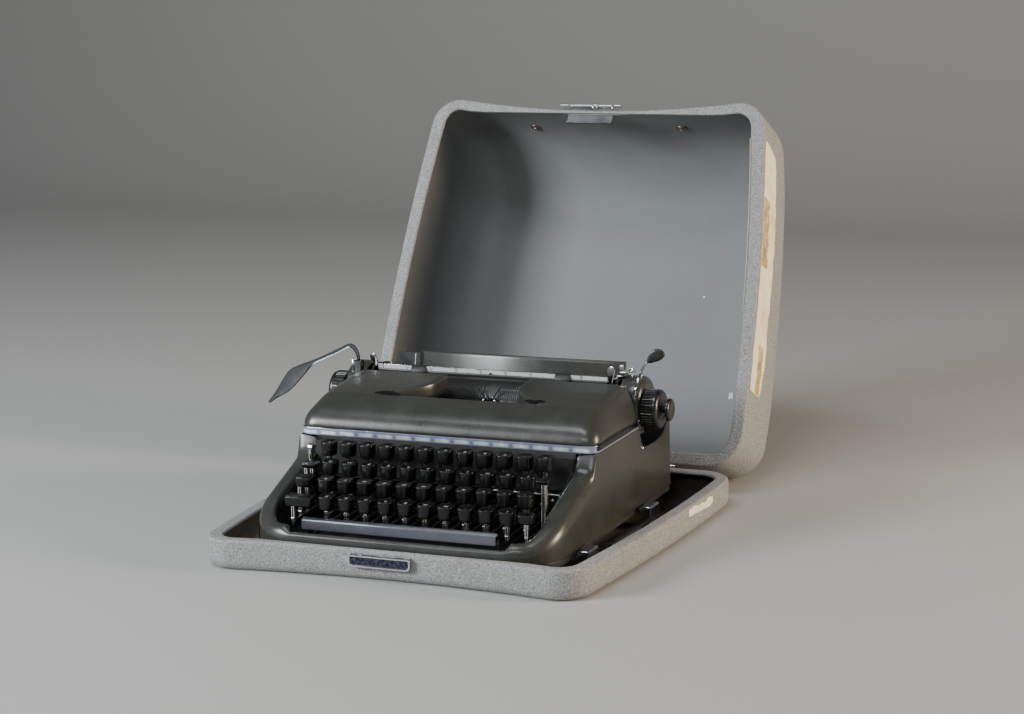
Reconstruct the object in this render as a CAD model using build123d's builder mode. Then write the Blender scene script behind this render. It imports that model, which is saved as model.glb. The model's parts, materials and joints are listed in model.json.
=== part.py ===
import math
import os

from build123d import *

os.makedirs("parts", exist_ok=True)

# ---- Driving dimensions, mm. +X right, +Y back, +Z up, origin under the middle of the tray ----

# Carrying case
case_front_half = 178.4    # half width at the front corners
case_back_half = 199.1     # half width at the rear corners
case_front_y = -188.6
case_back_y = 188.7
case_side_bulge = 6.4      # how far each side bows out
case_front_dip = 14.5      # how far the front edge curves in at its middle
case_front_r = 29.0
case_back_r = 36.0
case_wall = 2.5
flange_w = 13.0            # inward flange round tray and lid
flange_t = 3.0
body_room = 2.6            # room round the machine where the flanges would meet it
tray_depth = 27.5
tray_edge_r = 8.0
rim_gap = 0.5              # between the closed rims
lid_depth = 130.0
lid_crown_r = 83.0         # rounding of the lid's front and rear top edges
lid_side_r = 55.0          # rounding of the lid's side top edges
lid_open = 115.0           # degrees from closed
hinge_behind = 2.2         # hinge axis behind the rear rim

# Machine body
body_half = 145.6
body_front_y = -168.0
body_back_y = 157.3
body_bottom = 22.0
body_wall = 2.0
body_front_r = 46.0        # plan rounding of the front corners
body_back_r = 14.0
shell_top = 95.0           # top edge of the lower shell beside the cover
cowl_y = -52.5             # front of the band and of the cover
slope_top = 83.0           # height where the side cheeks start to slope
slope = 0.403              # fall of the cheeks per mm forward
band_h = 7.0
band_t = 1.2
cover_back_y = 51.0
cover_wall = 1.6
well_half = 127.0
well_back_y = -56.0
well_front_y = -156.0
well_r = 26.0
lip_top = 34.5
notch_left = -98.0
notch_right = 105.0

# Keys
key_pitch = 19.05
cap_w = 14.4
cap_h = 11.0
cap_dish = 1.2
cap_foot = 9.0             # width at the bottom of a cap
row_left = [-106.3, -95.4, -89.7, -79.5]
row_front = [-90.5, -110.3, -131.4, -151.1]
row_top = [98.3, 85.7, 75.2, 64.5]
row_count = [12, 11, 11, 10]
linked_row = 2             # the row, and the key in it, that is built with its own typebar
linked_key_at = 5
lever_t = 1.2
lever_h = 5.0
fulcrum_y = 42.0
fulcrum_z = 46.0
fulcrum_r = 2.5
fulcrum_fit = 0.05
space_left = -88.5
space_right = 95.5
space_y = -164.0
space_deep = 8.5
space_top = 47.5
space_h = 10.5

# Type and ribbon
strike = (-3.0, 60.6, 109.6)     # where the type meets the ribbon
fan_tilt = 80.0                   # tilt of the fan's axis, degrees above horizontal
fan_drop = 46.0                   # from the strike point down to the fan's centre
pivot_r = 32.0
bar_count = 43
bar_half_angle = 79.0
bar_t = 1.0
bar_w = 3.4
slot_w = 1.4
spool_x = 99.0
spool_y = 8.0
spool_z = 98.0
spool_r = 24.0
spool_h = 13.0

# Carriage
carriage_x = -6.0
travel = 115.0
platen_y = 79.0
platen_z = 109.6
platen_r = 17.5
platen_half = 118.0
core_r = 14.0
shaft_r = 4.0
shaft_fit = 0.06
end_plate_at = 123.0       # inner face of each end plate, from the carriage's middle
end_plate_t = 3.0
housing_at = 130.0
housing_out = 151.0
housing_front_y = 62.0
housing_back_y = 112.0
housing_top = 138.0
knob_in = 152.0
knob_out = 168.0
knob_r = 18.4
rail_top = 85.6
rail_y = 110.0
bail_y = 72.8
bail_z = 133.0
bail_half = 117.0
bail_pivot_y = 98.0
bail_pivot_z = 124.0
bail_rod_r = 1.8
roller_r = 6.4
roller_w = 15.0
roller_at = [-80.0, 67.0]
table_foot_y = 101.0
table_foot_z = 111.0
table_top_y = 108.5
table_top_z = 146.0
table_left = -93.0
table_right = 116.0

clear = 0.4                # plain clearance between parts that pass each other


def save(shape, name):
    shape.label = name
    export_step(shape, "parts/" + name + ".step")


def block(low, high):
    """A plain box between two corners."""
    size = [high[i] - low[i] for i in range(3)]
    middle = [(high[i] + low[i]) / 2 for i in range(3)]
    with BuildPart() as form:
        with Locations(tuple(middle)):
            Box(*size)
    return form.part


def rod(x0, x1, y, z, radius, bore=0.0):
    """A round bar or tube along X."""
    with BuildPart() as form:
        with BuildSketch(Plane.YZ.offset(x0)):
            with Locations((y, z)):
                Circle(radius)
                if bore:
                    Circle(bore, mode=Mode.SUBTRACT)
        extrude(amount=x1 - x0)
    return form.part


def plate_yz(points, x, thick, cut=None):
    """A flat plate standing in the YZ plane, centred on x. cut holds round holes as (y, z, radius)."""
    with BuildPart() as form:
        with BuildSketch(Plane.YZ.offset(x - thick / 2)):
            with BuildLine():
                Polyline(*points, close=True)
            make_face()
            for y, z, radius in cut or []:
                with Locations((y, z)):
                    Circle(radius, mode=Mode.SUBTRACT)
        extrude(amount=thick)
    return form.part


# ---- Plan outlines shared by several parts ----

def body_outline(inset):
    """Plan outline of the machine's body."""
    with BuildSketch() as outline:
        with Locations((0, (body_front_y + body_back_y) / 2)):
            Rectangle(2 * (body_half - inset), body_back_y - body_front_y - 2 * inset)
        fillet(outline.vertices().sort_by(Axis.Y)[:2], body_front_r - inset)
        fillet(outline.vertices().sort_by(Axis.Y)[-2:], body_back_r - inset)
    return outline.sketch


# ---- Carrying case ----

case_mid_y = (case_front_y + case_back_y) / 2
case_mid_half = (case_front_half + case_back_half) / 2 + case_side_bulge


def case_outline(inset):
    """Plan outline of tray and lid, made smaller by inset all round."""
    front_half = case_front_half - inset
    back_half = case_back_half - inset
    mid_half = case_mid_half - inset
    front = case_front_y + inset
    back = case_back_y - inset
    with BuildSketch() as outline:
        with BuildLine():
            ThreePointArc((-front_half, front), (0, front + case_front_dip), (front_half, front))
            ThreePointArc((front_half, front), (mid_half, case_mid_y), (back_half, back))
            Line((back_half, back), (-back_half, back))
            ThreePointArc((-back_half, back), (-mid_half, case_mid_y), (-front_half, front))
        make_face()
        fillet(outline.vertices().sort_by(Axis.Y)[:2], case_front_r - inset)
        fillet(outline.vertices().sort_by(Axis.Y)[-2:], case_back_r - inset)
    return outline.sketch


def tray_form(inset, low, high):
    with BuildPart() as form:
        with BuildSketch(Plane.XY.offset(low)):
            add(case_outline(inset))
        extrude(amount=high - low)
        fillet(form.faces().sort_by(Axis.Z)[0].edges(), tray_edge_r - inset)
    return form.part


with BuildPart() as case_tray:
    add(tray_form(0, 0, tray_depth))
    add(tray_form(case_wall, case_wall, tray_depth - flange_t), mode=Mode.SUBTRACT)
    with BuildSketch(Plane.XY.offset(tray_depth - flange_t)):
        add(case_outline(flange_w))
        add(body_outline(-body_room))
    extrude(amount=flange_t, mode=Mode.SUBTRACT)
save(case_tray.part, "case_tray")

# The lid is drawn closed on its own plane, which is then turned back about the hinge axis.
hinge_y = case_back_y + hinge_behind
hinge_z = tray_depth + rim_gap / 2


def lid_point(x, y, z):
    """Where a point of the closed lid lies with the lid open."""
    turn = math.radians(-lid_open)
    dy = y - hinge_y
    dz = z - hinge_z
    return (
        x,
        hinge_y + dy * math.cos(turn) - dz * math.sin(turn),
        hinge_z + dy * math.sin(turn) + dz * math.cos(turn),
    )


lid_up = (0, math.sin(math.radians(lid_open)), math.cos(math.radians(lid_open)))
lid_back = (0, math.cos(math.radians(lid_open)), -math.sin(math.radians(lid_open)))
lid_rim_z = tray_depth + rim_gap


def lid_plane(height):
    """Plane parallel to the lid's rim, height above it, with the tray's own X and Y."""
    return Plane(lid_point(0, 0, lid_rim_z + height), x_dir=(1, 0, 0), z_dir=lid_up)


def corner_cutter(origin, outward, along, radius, length):
    """What a rounded top edge leaves off: the corner outside a quarter circle, drawn long."""
    past = 12.0
    with BuildPart() as form:
        with BuildSketch(Plane(origin, x_dir=outward, z_dir=along)):
            with BuildLine():
                RadiusArc((-radius, 0), (0, -radius), radius)
                Polyline((0, -radius), (past, -radius), (past, past), (-radius, past), (-radius, 0))
            make_face()
        extrude(amount=length, both=True)
    return form.part


def lid_side_view(inset, low, high):
    """The lid seen from the side, its front and rear crowns rounded, drawn long across it."""
    view = Plane(lid_point(0, 0, lid_rim_z), x_dir=lid_back, z_dir=(1, 0, 0))
    front = case_front_y + inset
    back = case_back_y - inset
    with BuildPart() as form:
        with BuildSketch(view) as side:
            with BuildLine():
                Polyline((front, low), (back, low), (back, high), (front, high), close=True)
            make_face()
            fillet(side.vertices().group_by(Axis.Y)[-1], lid_crown_r - inset)
        extrude(amount=2 * case_mid_half, both=True)
    return form.part


def lid_form(inset, low, high):
    """The lid's outer form made smaller by inset, between two heights above its rim."""
    side_run = case_back_y - case_front_y
    side_lean = math.atan2(case_back_half - case_front_half, side_run)
    with BuildPart() as form:
        with BuildSketch(lid_plane(low)):
            add(case_outline(inset))
        extrude(amount=high - low)
        for side in (-1, 1):
            edge = lid_point(side * (case_mid_half - inset), case_mid_y, lid_rim_z + high)
            outward = (
                side * math.cos(side_lean),
                -math.sin(side_lean) * lid_back[1],
                -math.sin(side_lean) * lid_back[2],
            )
            along = Vector(*outward).cross(Vector(*lid_up))
            add(
                corner_cutter(edge, outward, along, lid_side_r - inset, side_run),
                mode=Mode.SUBTRACT,
            )
        add(lid_side_view(inset, low, high), mode=Mode.INTERSECT)
    return form.part


with BuildPart() as case_lid:
    add(lid_form(0, 0, lid_depth))
    add(lid_form(case_wall, flange_t, lid_depth - case_wall), mode=Mode.SUBTRACT)
    with BuildSketch(lid_plane(0)):
        add(case_outline(flange_w))
        add(body_outline(-body_room))
    extrude(amount=flange_t, mode=Mode.SUBTRACT)
save(case_lid.part, "case_lid")


# ---- Case fittings ----

leaf_w = 34.0
leaf_at = 118.0
leaf_t = 1.6
leaf_len = 12.0
knuckle_r = 2.2
pin_r = 1.2
pin_fit = 0.05
hinge_off = 0.3            # leaves stand this far off the walls they are screwed to


def hinge_knuckle(x0, x1):
    return rod(x0, x1, hinge_y, hinge_z, knuckle_r, pin_r + pin_fit)


with BuildPart() as tray_hinge_leaves:
    for side in (-1, 1):
        middle = side * leaf_at
        add(hinge_knuckle(middle - leaf_w / 2, middle - leaf_w / 6 - clear / 2))
        add(hinge_knuckle(middle + leaf_w / 6 + clear / 2, middle + leaf_w / 2))
        for x0 in (middle - leaf_w / 2, middle + leaf_w / 6 + clear / 2):
            low = (x0, case_back_y + hinge_off, hinge_z - leaf_len)
            high = (x0 + leaf_w / 3 - clear / 2, case_back_y + hinge_off + leaf_t, hinge_z - pin_r - 0.3)
            add(block(low, high))
save(tray_hinge_leaves.part, "tray_hinge_leaves")

with BuildPart() as lid_hinge_leaves:
    for side in (-1, 1):
        middle = side * leaf_at
        add(hinge_knuckle(middle - leaf_w / 6 + clear / 2, middle + leaf_w / 6 - clear / 2))
        with BuildSketch(lid_plane(hinge_z - lid_rim_z + pin_r + 0.3)):
            with Locations((middle, case_back_y + hinge_off + leaf_t / 2)):
                Rectangle(leaf_w / 3 - clear, leaf_t)
        extrude(amount=leaf_len)
save(lid_hinge_leaves.part, "lid_hinge_leaves")

with BuildPart() as hinge_pins:
    for side in (-1, 1):
        add(rod(side * leaf_at - leaf_w / 2, side * leaf_at + leaf_w / 2, hinge_y, hinge_z, pin_r))
save(hinge_pins.part, "hinge_pins")

# Handle: two posts on the lid's front wall and a bail between them that swings.
front_wall_y = case_front_y + case_front_dip
wall_seat = 1.4            # flat fittings start this far off the bowed front wall
post_half = 46.0           # inner face of each post
post_w = 7.0
post_reach = 10.0
handle_height = 30.0       # handle axis above the rim
handle_drop = 17.0         # from the axis to the middle of the grip
handle_pin_r = 2.0
handle_fit = 0.06
grip_r = 3.8
handle_axis_y = front_wall_y - wall_seat - post_reach + 4.0
arm_out = post_half - clear    # outer face of each arm of the handle
arm_w = 4.0
arm_half = 3.0


def lid_bar(x0, x1, y, height, radius, bore=0.0):
    """A round bar along X, placed by the closed lid's Y and the height above its rim."""
    _, py, pz = lid_point(0, y, lid_rim_z + height)
    return rod(x0, x1, py, pz, radius, bore)


def lid_block(x0, x1, y0, y1, h0, h1):
    """A box given on the closed lid: X, Y and height above the rim."""
    with BuildPart() as form:
        with BuildSketch(lid_plane(h0)):
            with Locations(((x0 + x1) / 2, (y0 + y1) / 2)):
                Rectangle(x1 - x0, y1 - y0)
        extrude(amount=h1 - h0)
    return form.part


with BuildPart() as handle_posts:
    for side in (-1, 1):
        x0 = min(side * post_half, side * (post_half + post_w))
        add(
            lid_block(
                x0, x0 + post_w,
                front_wall_y - wall_seat - post_reach, front_wall_y - wall_seat,
                handle_height - 5.0, handle_height + 5.0,
            )
        )
        add(
            lid_bar(x0, x0 + post_w, handle_axis_y, handle_height, handle_pin_r + handle_fit),
            mode=Mode.SUBTRACT,
        )
save(handle_posts.part, "handle_posts")

with BuildPart() as lid_handle:
    for side in (-1, 1):
        x0 = min(side * arm_out, side * (arm_out - arm_w))
        add(
            lid_block(
                x0, x0 + arm_w,
                handle_axis_y - arm_half, handle_axis_y + arm_half,
                handle_height - arm_half, handle_height + handle_drop,
            )
        )
        pin_x = min(side * (arm_out - 1.0), side * (post_half + post_w))
        pin_long = post_half + post_w - arm_out + 1.0
        add(lid_bar(pin_x, pin_x + pin_long, handle_axis_y, handle_height, handle_pin_r))
    add(lid_bar(-arm_out, arm_out, handle_axis_y, handle_height + handle_drop, grip_r))
save(lid_handle.part, "lid_handle")

# Latch: a plate on the tray's front wall with a tongue that flips down from it.
latch_x = -6.5
latch_w = 59.0
latch_low = 13.0
latch_high = 24.0
latch_t = 2.6
tongue_w = 46.0
latch_pin_r = 1.0
latch_y = front_wall_y - wall_seat
latch_axis_y = latch_y - latch_t - 0.9
latch_axis_z = latch_low + 1.6

with BuildPart() as latch_plate:
    add(block((latch_x - latch_w / 2, latch_y - latch_t, latch_low),
              (latch_x + latch_w / 2, latch_y, latch_high)))
    for side in (-1, 1):
        lug = latch_x + side * (tongue_w / 2 + clear + 1.5)
        add(block((lug - 1.5, latch_axis_y - 1.4, latch_axis_z - 1.4),
                  (lug + 1.5, latch_y - latch_t + 0.5, latch_axis_z + 1.4)))
    add(rod(latch_x - tongue_w / 2 - 2.5, latch_x + tongue_w / 2 + 2.5,
            latch_axis_y, latch_axis_z, latch_pin_r))
    add(block((latch_x - tongue_w / 2 - 0.3, latch_y - latch_t, latch_low),
              (latch_x + tongue_w / 2 + 0.3, latch_y - 1.2, latch_axis_z + 2.4)), mode=Mode.SUBTRACT)
save(latch_plate.part, "latch_plate")

with BuildPart() as latch_tongue:
    add(block((latch_x - tongue_w / 2, latch_axis_y - 1.0, latch_axis_z + 0.8),
              (latch_x + tongue_w / 2, latch_axis_y + 0.8, latch_high - 0.8)))
    add(rod(latch_x - tongue_w / 2, latch_x + tongue_w / 2,
            latch_axis_y, latch_axis_z, latch_pin_r + 0.7))
    add(rod(latch_x - tongue_w / 2, latch_x + tongue_w / 2,
            latch_axis_y, latch_axis_z, latch_pin_r + 0.05), mode=Mode.SUBTRACT)
save(latch_tongue.part, "latch_tongue")

with BuildPart() as lid_catch:
    add(lid_block(latch_x - 25.0, latch_x + 25.0,
                  front_wall_y + 2.6, front_wall_y + flange_w - 1.5, flange_t, flange_t + 1.4))
save(lid_catch.part, "lid_catch")

# Clips that hold the machine in the tray, and a clamp screw on each side.
clip_x = 158.0
clip_ys = [-99.0, 60.0]
clip_w = 24.0
clip_t = 2.0
clip_top = 24.0
screw_x = 160.0
screw_y = -66.0
screw_r = 2.5
screw_fit = 0.06

with BuildPart() as hold_down_clips:
    for side in (-1, 1):
        for y in clip_ys:
            outer = side * (clip_x + clip_t)
            inner = side * clip_x
            tip = side * (body_half + 3.0)
            add(block((min(inner, outer), y - clip_w / 2, case_wall),
                      (max(inner, outer), y + clip_w / 2, clip_top)))
            add(block((min(tip, outer), y - clip_w / 2, clip_top - clip_t),
                      (max(tip, outer), y + clip_w / 2, clip_top)))
        bracket = side * screw_x
        add(block((bracket - 9.0, screw_y - 9.0, case_wall), (bracket + 9.0, screw_y + 9.0, case_wall + 9.0)))
        with BuildSketch(Plane.XY.offset(case_wall + 2.0)):
            with Locations((bracket, screw_y)):
                Circle(screw_r + screw_fit)
        extrude(amount=8.0, mode=Mode.SUBTRACT)
save(hold_down_clips.part, "hold_down_clips")


def clamp_screw(side):
    with BuildPart() as screw:
        with BuildSketch(Plane.XY.offset(case_wall + 2.3)):
            with Locations((side * screw_x, screw_y)):
                Circle(screw_r)
        extrude(amount=10.0)
        with BuildSketch(Plane.XY.offset(case_wall + 9.0 + clear)):
            with Locations((side * screw_x, screw_y)):
                RegularPolygon(8.0, 12)
        extrude(amount=8.0)
    return screw.part


save(clamp_screw(1), "clamp_screw_right")
save(clamp_screw(-1), "clamp_screw_left")

# Old paper tape on the outside of lid and tray.
tape_t = 0.3
tape_gap = 0.1
tape_lid_h = 52.0
tape_half = 9.0


def case_side_x(y, inset=0.0):
    """Half width of the case at y, on the bowed side."""
    run = case_back_y - case_front_y
    share = (y - case_front_y) / run
    straight = case_front_half + (case_back_half - case_front_half) * share
    return straight + 4 * case_side_bulge * share * (1 - share) - inset


with BuildPart() as lid_tape:
    for y0, y1 in ((-150.0, -75.0), (-75.0, 0.0), (0.0, 75.0), (75.0, 130.0)):
        outer = [case_side_x(y) + 1.2 for y in (y0, y1)]
        with BuildSketch(lid_plane(tape_lid_h - tape_half)):
            with BuildLine():
                Polyline(
                    (outer[0], y0), (outer[1], y1),
                    (outer[1] + tape_t, y1), (outer[0] + tape_t, y0),
                    close=True,
                )
            make_face()
        extrude(amount=2 * tape_half)
save(lid_tape.part, "lid_tape")

# ---- Machine body ----


def cheek_z(y):
    """Height of the sloping side cheeks."""
    return slope_top - slope * (cowl_y - y)


# top edge of the shell from the rear wall forward, through the cut beside the carriage, as (y, z)
rear_edge = [
    (148.0, 89.0), (139.0, 83.0), (128.0, 75.0), (105.0, 71.5), (76.0, 72.0), (70.0, 76.0), (58.0, shell_top),
]
rear_top = 90.0
nose_deep = 8.0            # length of the rounded nose in front of the sloping cheeks
over = 5.0                 # how far drawing profiles run past the shell


def side_profile(drop):
    """Side view of the lower shell, its top edges lowered by drop."""
    nose_y = body_front_y + nose_deep
    points = [(body_front_y - over, body_bottom - 2 * over), (body_back_y + over, body_bottom - 2 * over)]
    points += [(body_back_y + over, rear_top - drop)]
    points += [(y, z - drop) for y, z in rear_edge]
    points += [
        (cowl_y + drop, shell_top - drop),
        (cowl_y + drop, slope_top - drop),
        (cowl_y - 7.0, slope_top - 3.4 - drop),
        (nose_y, cheek_z(nose_y) - drop),
        (body_front_y, cheek_z(nose_y) - 5.0 - drop),
        (body_front_y - over, cheek_z(nose_y) - 9.0 - drop),
    ]
    with BuildSketch() as profile:
        with BuildLine():
            Polyline(*points, close=True)
        make_face()
    return profile.sketch


def body_form(inset, low):
    with BuildPart() as form:
        with BuildSketch(Plane.XY.offset(low)):
            add(body_outline(inset))
        extrude(amount=shell_top)
        with BuildSketch(Plane.YZ):
            add(side_profile(inset))
        extrude(amount=body_half + over, both=True, mode=Mode.INTERSECT)
    return form.part


def well_outline(inset):
    """Plan outline of the opening round the keys."""
    with BuildSketch() as outline:
        with Locations((0, (well_back_y + well_front_y) / 2)):
            Rectangle(2 * (well_half - inset), well_back_y - well_front_y - 2 * inset)
        fillet(outline.vertices().sort_by(Axis.Y)[:2], well_r - inset)
    return outline.sketch


carriage_room_y = 60.0
carriage_room_z = 60.0

with BuildPart() as body_shell:
    add(body_form(0, body_bottom))
    add(body_form(body_wall, body_bottom - 5), mode=Mode.SUBTRACT)
    # open top under the cover and, lower down, under the carriage
    for y, z in ((cowl_y + body_wall, slope_top), (carriage_room_y, carriage_room_z)):
        low = (-body_half + body_wall, y, z)
        high = (body_half - body_wall, body_back_y - body_wall, shell_top + over)
        add(block(low, high), mode=Mode.SUBTRACT)
    # key well and, at its front, the notch for the space bar
    with BuildSketch(Plane.XY.offset(body_bottom)):
        add(well_outline(0))
    extrude(amount=shell_top, mode=Mode.SUBTRACT)
    for y, z in ((body_front_y + body_wall, body_bottom - 1), (body_front_y - 1, lip_top)):
        add(block((notch_left, y, z), (notch_right, well_front_y + over, 60.0)), mode=Mode.SUBTRACT)
save(body_shell.part, "body_shell")

band_corner_r = 11.0
band_out = 0.5             # how far the band stands proud of the shell
band_back_y = 56.0


def band_outline(extra, back_y):
    """Plan outline of band and cover."""
    with BuildSketch() as outline:
        with Locations((0, (cowl_y - extra + back_y) / 2)):
            Rectangle(2 * (body_half + extra), back_y - cowl_y + extra)
        fillet(outline.vertices().sort_by(Axis.Y)[:2], band_corner_r + extra)
    return outline.sketch


band_low = shell_top + 0.1
with BuildPart() as chrome_band:
    with BuildSketch(Plane.XY.offset(band_low)):
        add(band_outline(band_out, band_back_y))
        add(band_outline(band_out - band_t - 1.0, band_back_y + 4.0), mode=Mode.SUBTRACT)
    extrude(amount=band_h - 0.2)
save(chrome_band.part, "chrome_band")

cover_low = shell_top + band_h + 0.3
cover_top = 137.0          # height of the cover at its rear edge
cover_side_r = 16.0        # rounding of the cover's long side edges
# plan outline of the hole over the type, wide at its front crease
cover_hole = [(-80, -16), (80, -16), (42, 20), (42, 70), (-42, 70), (-42, 20)]


def cover_profile(inset):
    """Side view of the ribbon cover."""
    with BuildSketch() as profile:
        with BuildLine():
            front = (cowl_y + inset, cover_low - inset)
            back = (cover_back_y + over, cover_top - inset)
            Spline(
                front,
                (-45.5 + inset, 115.0 - inset),
                (-31.0 + inset * 0.5, 125.0 - inset),
                (-8.0, 131.5 - inset),
                (20.0, 135.2 - inset),
                back,
            )
            Polyline(back, (cover_back_y + over, cover_low - inset), front)
        make_face()
    return profile.sketch


def cover_form(inset):
    with BuildPart() as form:
        with BuildSketch(Plane.XY.offset(cover_low - inset)):
            add(band_outline(-inset, cover_back_y + inset))
        extrude(amount=60.0)
        with BuildSketch(Plane.YZ):
            add(cover_profile(inset))
        extrude(amount=body_half + over, both=True, mode=Mode.INTERSECT)
        # round the long top edges at the sides, along the crown's slight rise to the rear
        for side in (-1, 1):
            edge = (side * (body_half - inset), 0, cover_top - 2.5 - inset)
            along = Vector(side, 0, 0).cross(Vector(0, -0.075, 1))
            add(corner_cutter(edge, (side, 0, 0), along, cover_side_r - inset, 120.0), mode=Mode.SUBTRACT)
    return form.part


with BuildPart() as ribbon_cover:
    add(cover_form(0))
    add(cover_form(cover_wall), mode=Mode.SUBTRACT)
    with BuildSketch(Plane.XY.offset(cover_low)):
        with BuildLine():
            Polyline(*cover_hole, close=True)
        make_face()
    extrude(amount=60.0, mode=Mode.SUBTRACT)
save(ribbon_cover.part, "ribbon_cover")

# ---- Base frame ----

plate_low = 19.5
plate_t = 2.0
foot_r = 9.0
foot_x = 118.0
foot_ys = [-118.0, 128.0]
cheek_plate_x = 137.0
cheek_plate_t = 3.0
beam_y = 60.0              # cross beam behind the type segment
beam_z = 56.0
rear_beam_y = 130.0
space_shaft_y = -40.0
space_shaft_z = 28.0
space_shaft_r = 2.0
shaft_lug = 116.0          # half span of the space bar shaft's lugs
post_x = 114.0             # upright posts that guide the carriage rail
post_r = 3.0
post_top = 82.0
spool_pin_r = 3.0
cup_r = spool_r + 2.5
cup_in = 118.0             # where the cups' arms start
drum_x = -88.0
drum_r = 15.0
drum_low = 57.0
drum_high = 70.0
rack_back = 121.0          # rear face of the carriage's rack
pinion_r = 10.0
pinion_gap = 0.3
pinion_y = rack_back + pinion_gap + pinion_r
pinion_low = 87.6
pinion_high = 91.0
arbor_r = 2.0
arbor_fit = 0.06
plate_top = plate_low + plate_t
# side plate of the frame, as (y, z)
cheek_plate_line = [(-30, plate_top - 0.5), (140, plate_top - 0.5), (140, 66), (60, 66), (45, 92), (-30, 92)]
cup_arm_low = 91.5
cup_arm_w = 20.0
beam_half_w = 4.0
beam_h = 6.0

with BuildPart() as chassis:
    with BuildSketch(Plane.XY.offset(plate_low)):
        add(body_outline(1.5))
    extrude(amount=plate_t)
    for side in (-1, 1):
        x = side * cheek_plate_x
        add(
            plate_yz(
                cheek_plate_line, x, cheek_plate_t, [(fulcrum_y, fulcrum_z, fulcrum_r + fulcrum_fit)],
            )
        )
        add(
            plate_yz(
                [(space_shaft_y - 7, plate_top - 0.5), (space_shaft_y + 7, plate_top - 0.5),
                 (space_shaft_y + 4, space_shaft_z + 4), (space_shaft_y - 4, space_shaft_z + 4)],
                side * shaft_lug, 2.0, [(space_shaft_y, space_shaft_z, space_shaft_r + fulcrum_fit)],
            )
        )
    for x in (-post_x, post_x):
        with BuildSketch(Plane.XY.offset(plate_top - 0.5)):
            with Locations((x, rail_y)):
                Circle(post_r)
        extrude(amount=post_top - plate_top + 0.5)
    # shallow cups and pins for the two spools, on arms from the side plates
    for side in (-1, 1):
        for low, high, radius in (
            (spool_z - 2.0, spool_z - 0.4, cup_r),
            (spool_z - 0.6, spool_z + spool_h + 2.5, spool_pin_r),
        ):
            with BuildSketch(Plane.XY.offset(low)):
                with Locations((side * spool_x, spool_y)):
                    Circle(radius)
            extrude(amount=high - low)
        arm_x = side * (cup_in + cheek_plate_x + 1) / 2
        with BuildSketch(Plane.XY.offset(cup_arm_low)):
            with Locations((arm_x, spool_y)):
                Rectangle(cheek_plate_x + 1 - cup_in, cup_arm_w)
        extrude(amount=spool_z - 1.0 - cup_arm_low)
    half = cheek_plate_x - cheek_plate_t / 2 + 0.2
    for y in (beam_y, rear_beam_y):
        add(block((-half, y - beam_half_w, beam_z - beam_h), (half, y + beam_half_w, beam_z)))
    for x, y, top in ((drum_x, rear_beam_y, drum_high + 1.5), (0, pinion_y, pinion_high + 0.6)):
        with BuildSketch(Plane.XY.offset(beam_z - 1)):
            with Locations((x, y)):
                Circle(arbor_r)
        extrude(amount=top - beam_z + 1)
    # collar under the escapement wheel
    with BuildSketch(Plane.XY.offset(beam_z - 1)):
        with Locations((0, pinion_y)):
            Circle(arbor_r + 1.5)
    extrude(amount=pinion_low - 0.4 - beam_z + 1)
save(chassis.part, "chassis")

with BuildPart() as rubber_feet:
    for side in (-1, 1):
        for y in foot_ys:
            with BuildSketch(Plane.XY.offset(case_wall)):
                with Locations((side * foot_x, y)):
                    Circle(foot_r)
            extrude(amount=plate_low - case_wall)
save(rubber_feet.part, "rubber_feet")

well_t = 1.2
with BuildPart() as key_well:
    for side in (-1, 1):
        add(
            plate_yz(
                [(well_front_y + well_r, 26), (well_back_y - 1, 26), (well_back_y - 1, 80),
                 (well_back_y - 8, cheek_z(well_back_y - 8) - 1.5),
                 (well_front_y + well_r, cheek_z(well_front_y + well_r) - 1.5)],
                side * (well_half - well_t / 2 - 0.3), well_t,
            )
        )
    add(block((-well_half + 0.5, well_back_y - 2.2, 62), (well_half - 0.5, well_back_y - 1.0, 92)))
    # sloping liners that carry the side walls on the base plate
    for side in (-1, 1):
        x = side * (well_half - well_t / 2 - 0.3)
        add(block((x - 0.6, -120, plate_top), (x + 0.6, -70, 27)))
save(key_well.part, "key_well")

with BuildPart() as key_shafts:
    add(rod(-cheek_plate_x - 1.5, cheek_plate_x + 1.5, fulcrum_y, fulcrum_z, fulcrum_r))
    add(rod(-shaft_lug - 1.0, shaft_lug + 1.0, space_shaft_y, space_shaft_z, space_shaft_r))
save(key_shafts.part, "key_shafts")

# ---- Keys ----

bar_fall = 0.045           # fall of a key lever per mm forward


def bar_z(y):
    """Middle height of a key lever at y."""
    return fulcrum_z - bar_fall * (fulcrum_y - y)


def key_lever(x, y, cap_bottom, stem_deep=5.0):
    """Lever from the common shaft to a stem that carries the cap."""
    h = lever_h / 2
    points = [
        (fulcrum_y + 5, bar_z(fulcrum_y) - h - 1.5),
        (fulcrum_y + 5, bar_z(fulcrum_y) + h + 1.5),
        (fulcrum_y - 5, bar_z(fulcrum_y) + h + 1.5),
        (y + stem_deep / 2, bar_z(y) + h),
        (y + stem_deep / 2, cap_bottom),
        (y - stem_deep / 2, cap_bottom),
        (y - stem_deep / 2, bar_z(y) - h),
        (fulcrum_y - 5, bar_z(fulcrum_y) - h - 1.5),
    ]
    return plate_yz(points, x, lever_t, [(fulcrum_y, fulcrum_z, fulcrum_r + fulcrum_fit)])


def key_cap(x, y, top, wide=cap_w, deep=cap_w, tall=cap_h, corner=3.2):
    """A cap with its middle at x, y: rounded square, drawn in towards its foot, dished on top."""
    shrink = cap_w - cap_foot
    with BuildPart() as cap:
        for z, less in ((top - tall, shrink), (top, 0.0)):
            with BuildSketch(Plane.XY.offset(z)):
                with Locations((x, y)):
                    RectangleRounded(wide - less, deep - less, corner)
        loft()
        with BuildSketch(Plane.XY.offset(top)):
            with Locations((x, y)):
                RectangleRounded(wide - 2.2, deep - 2.2, corner - 1)
        extrude(amount=-cap_dish, taper=35, mode=Mode.SUBTRACT)
    return cap.part


def key_at(row, index):
    return row_left[row] + cap_w / 2 + index * key_pitch


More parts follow.
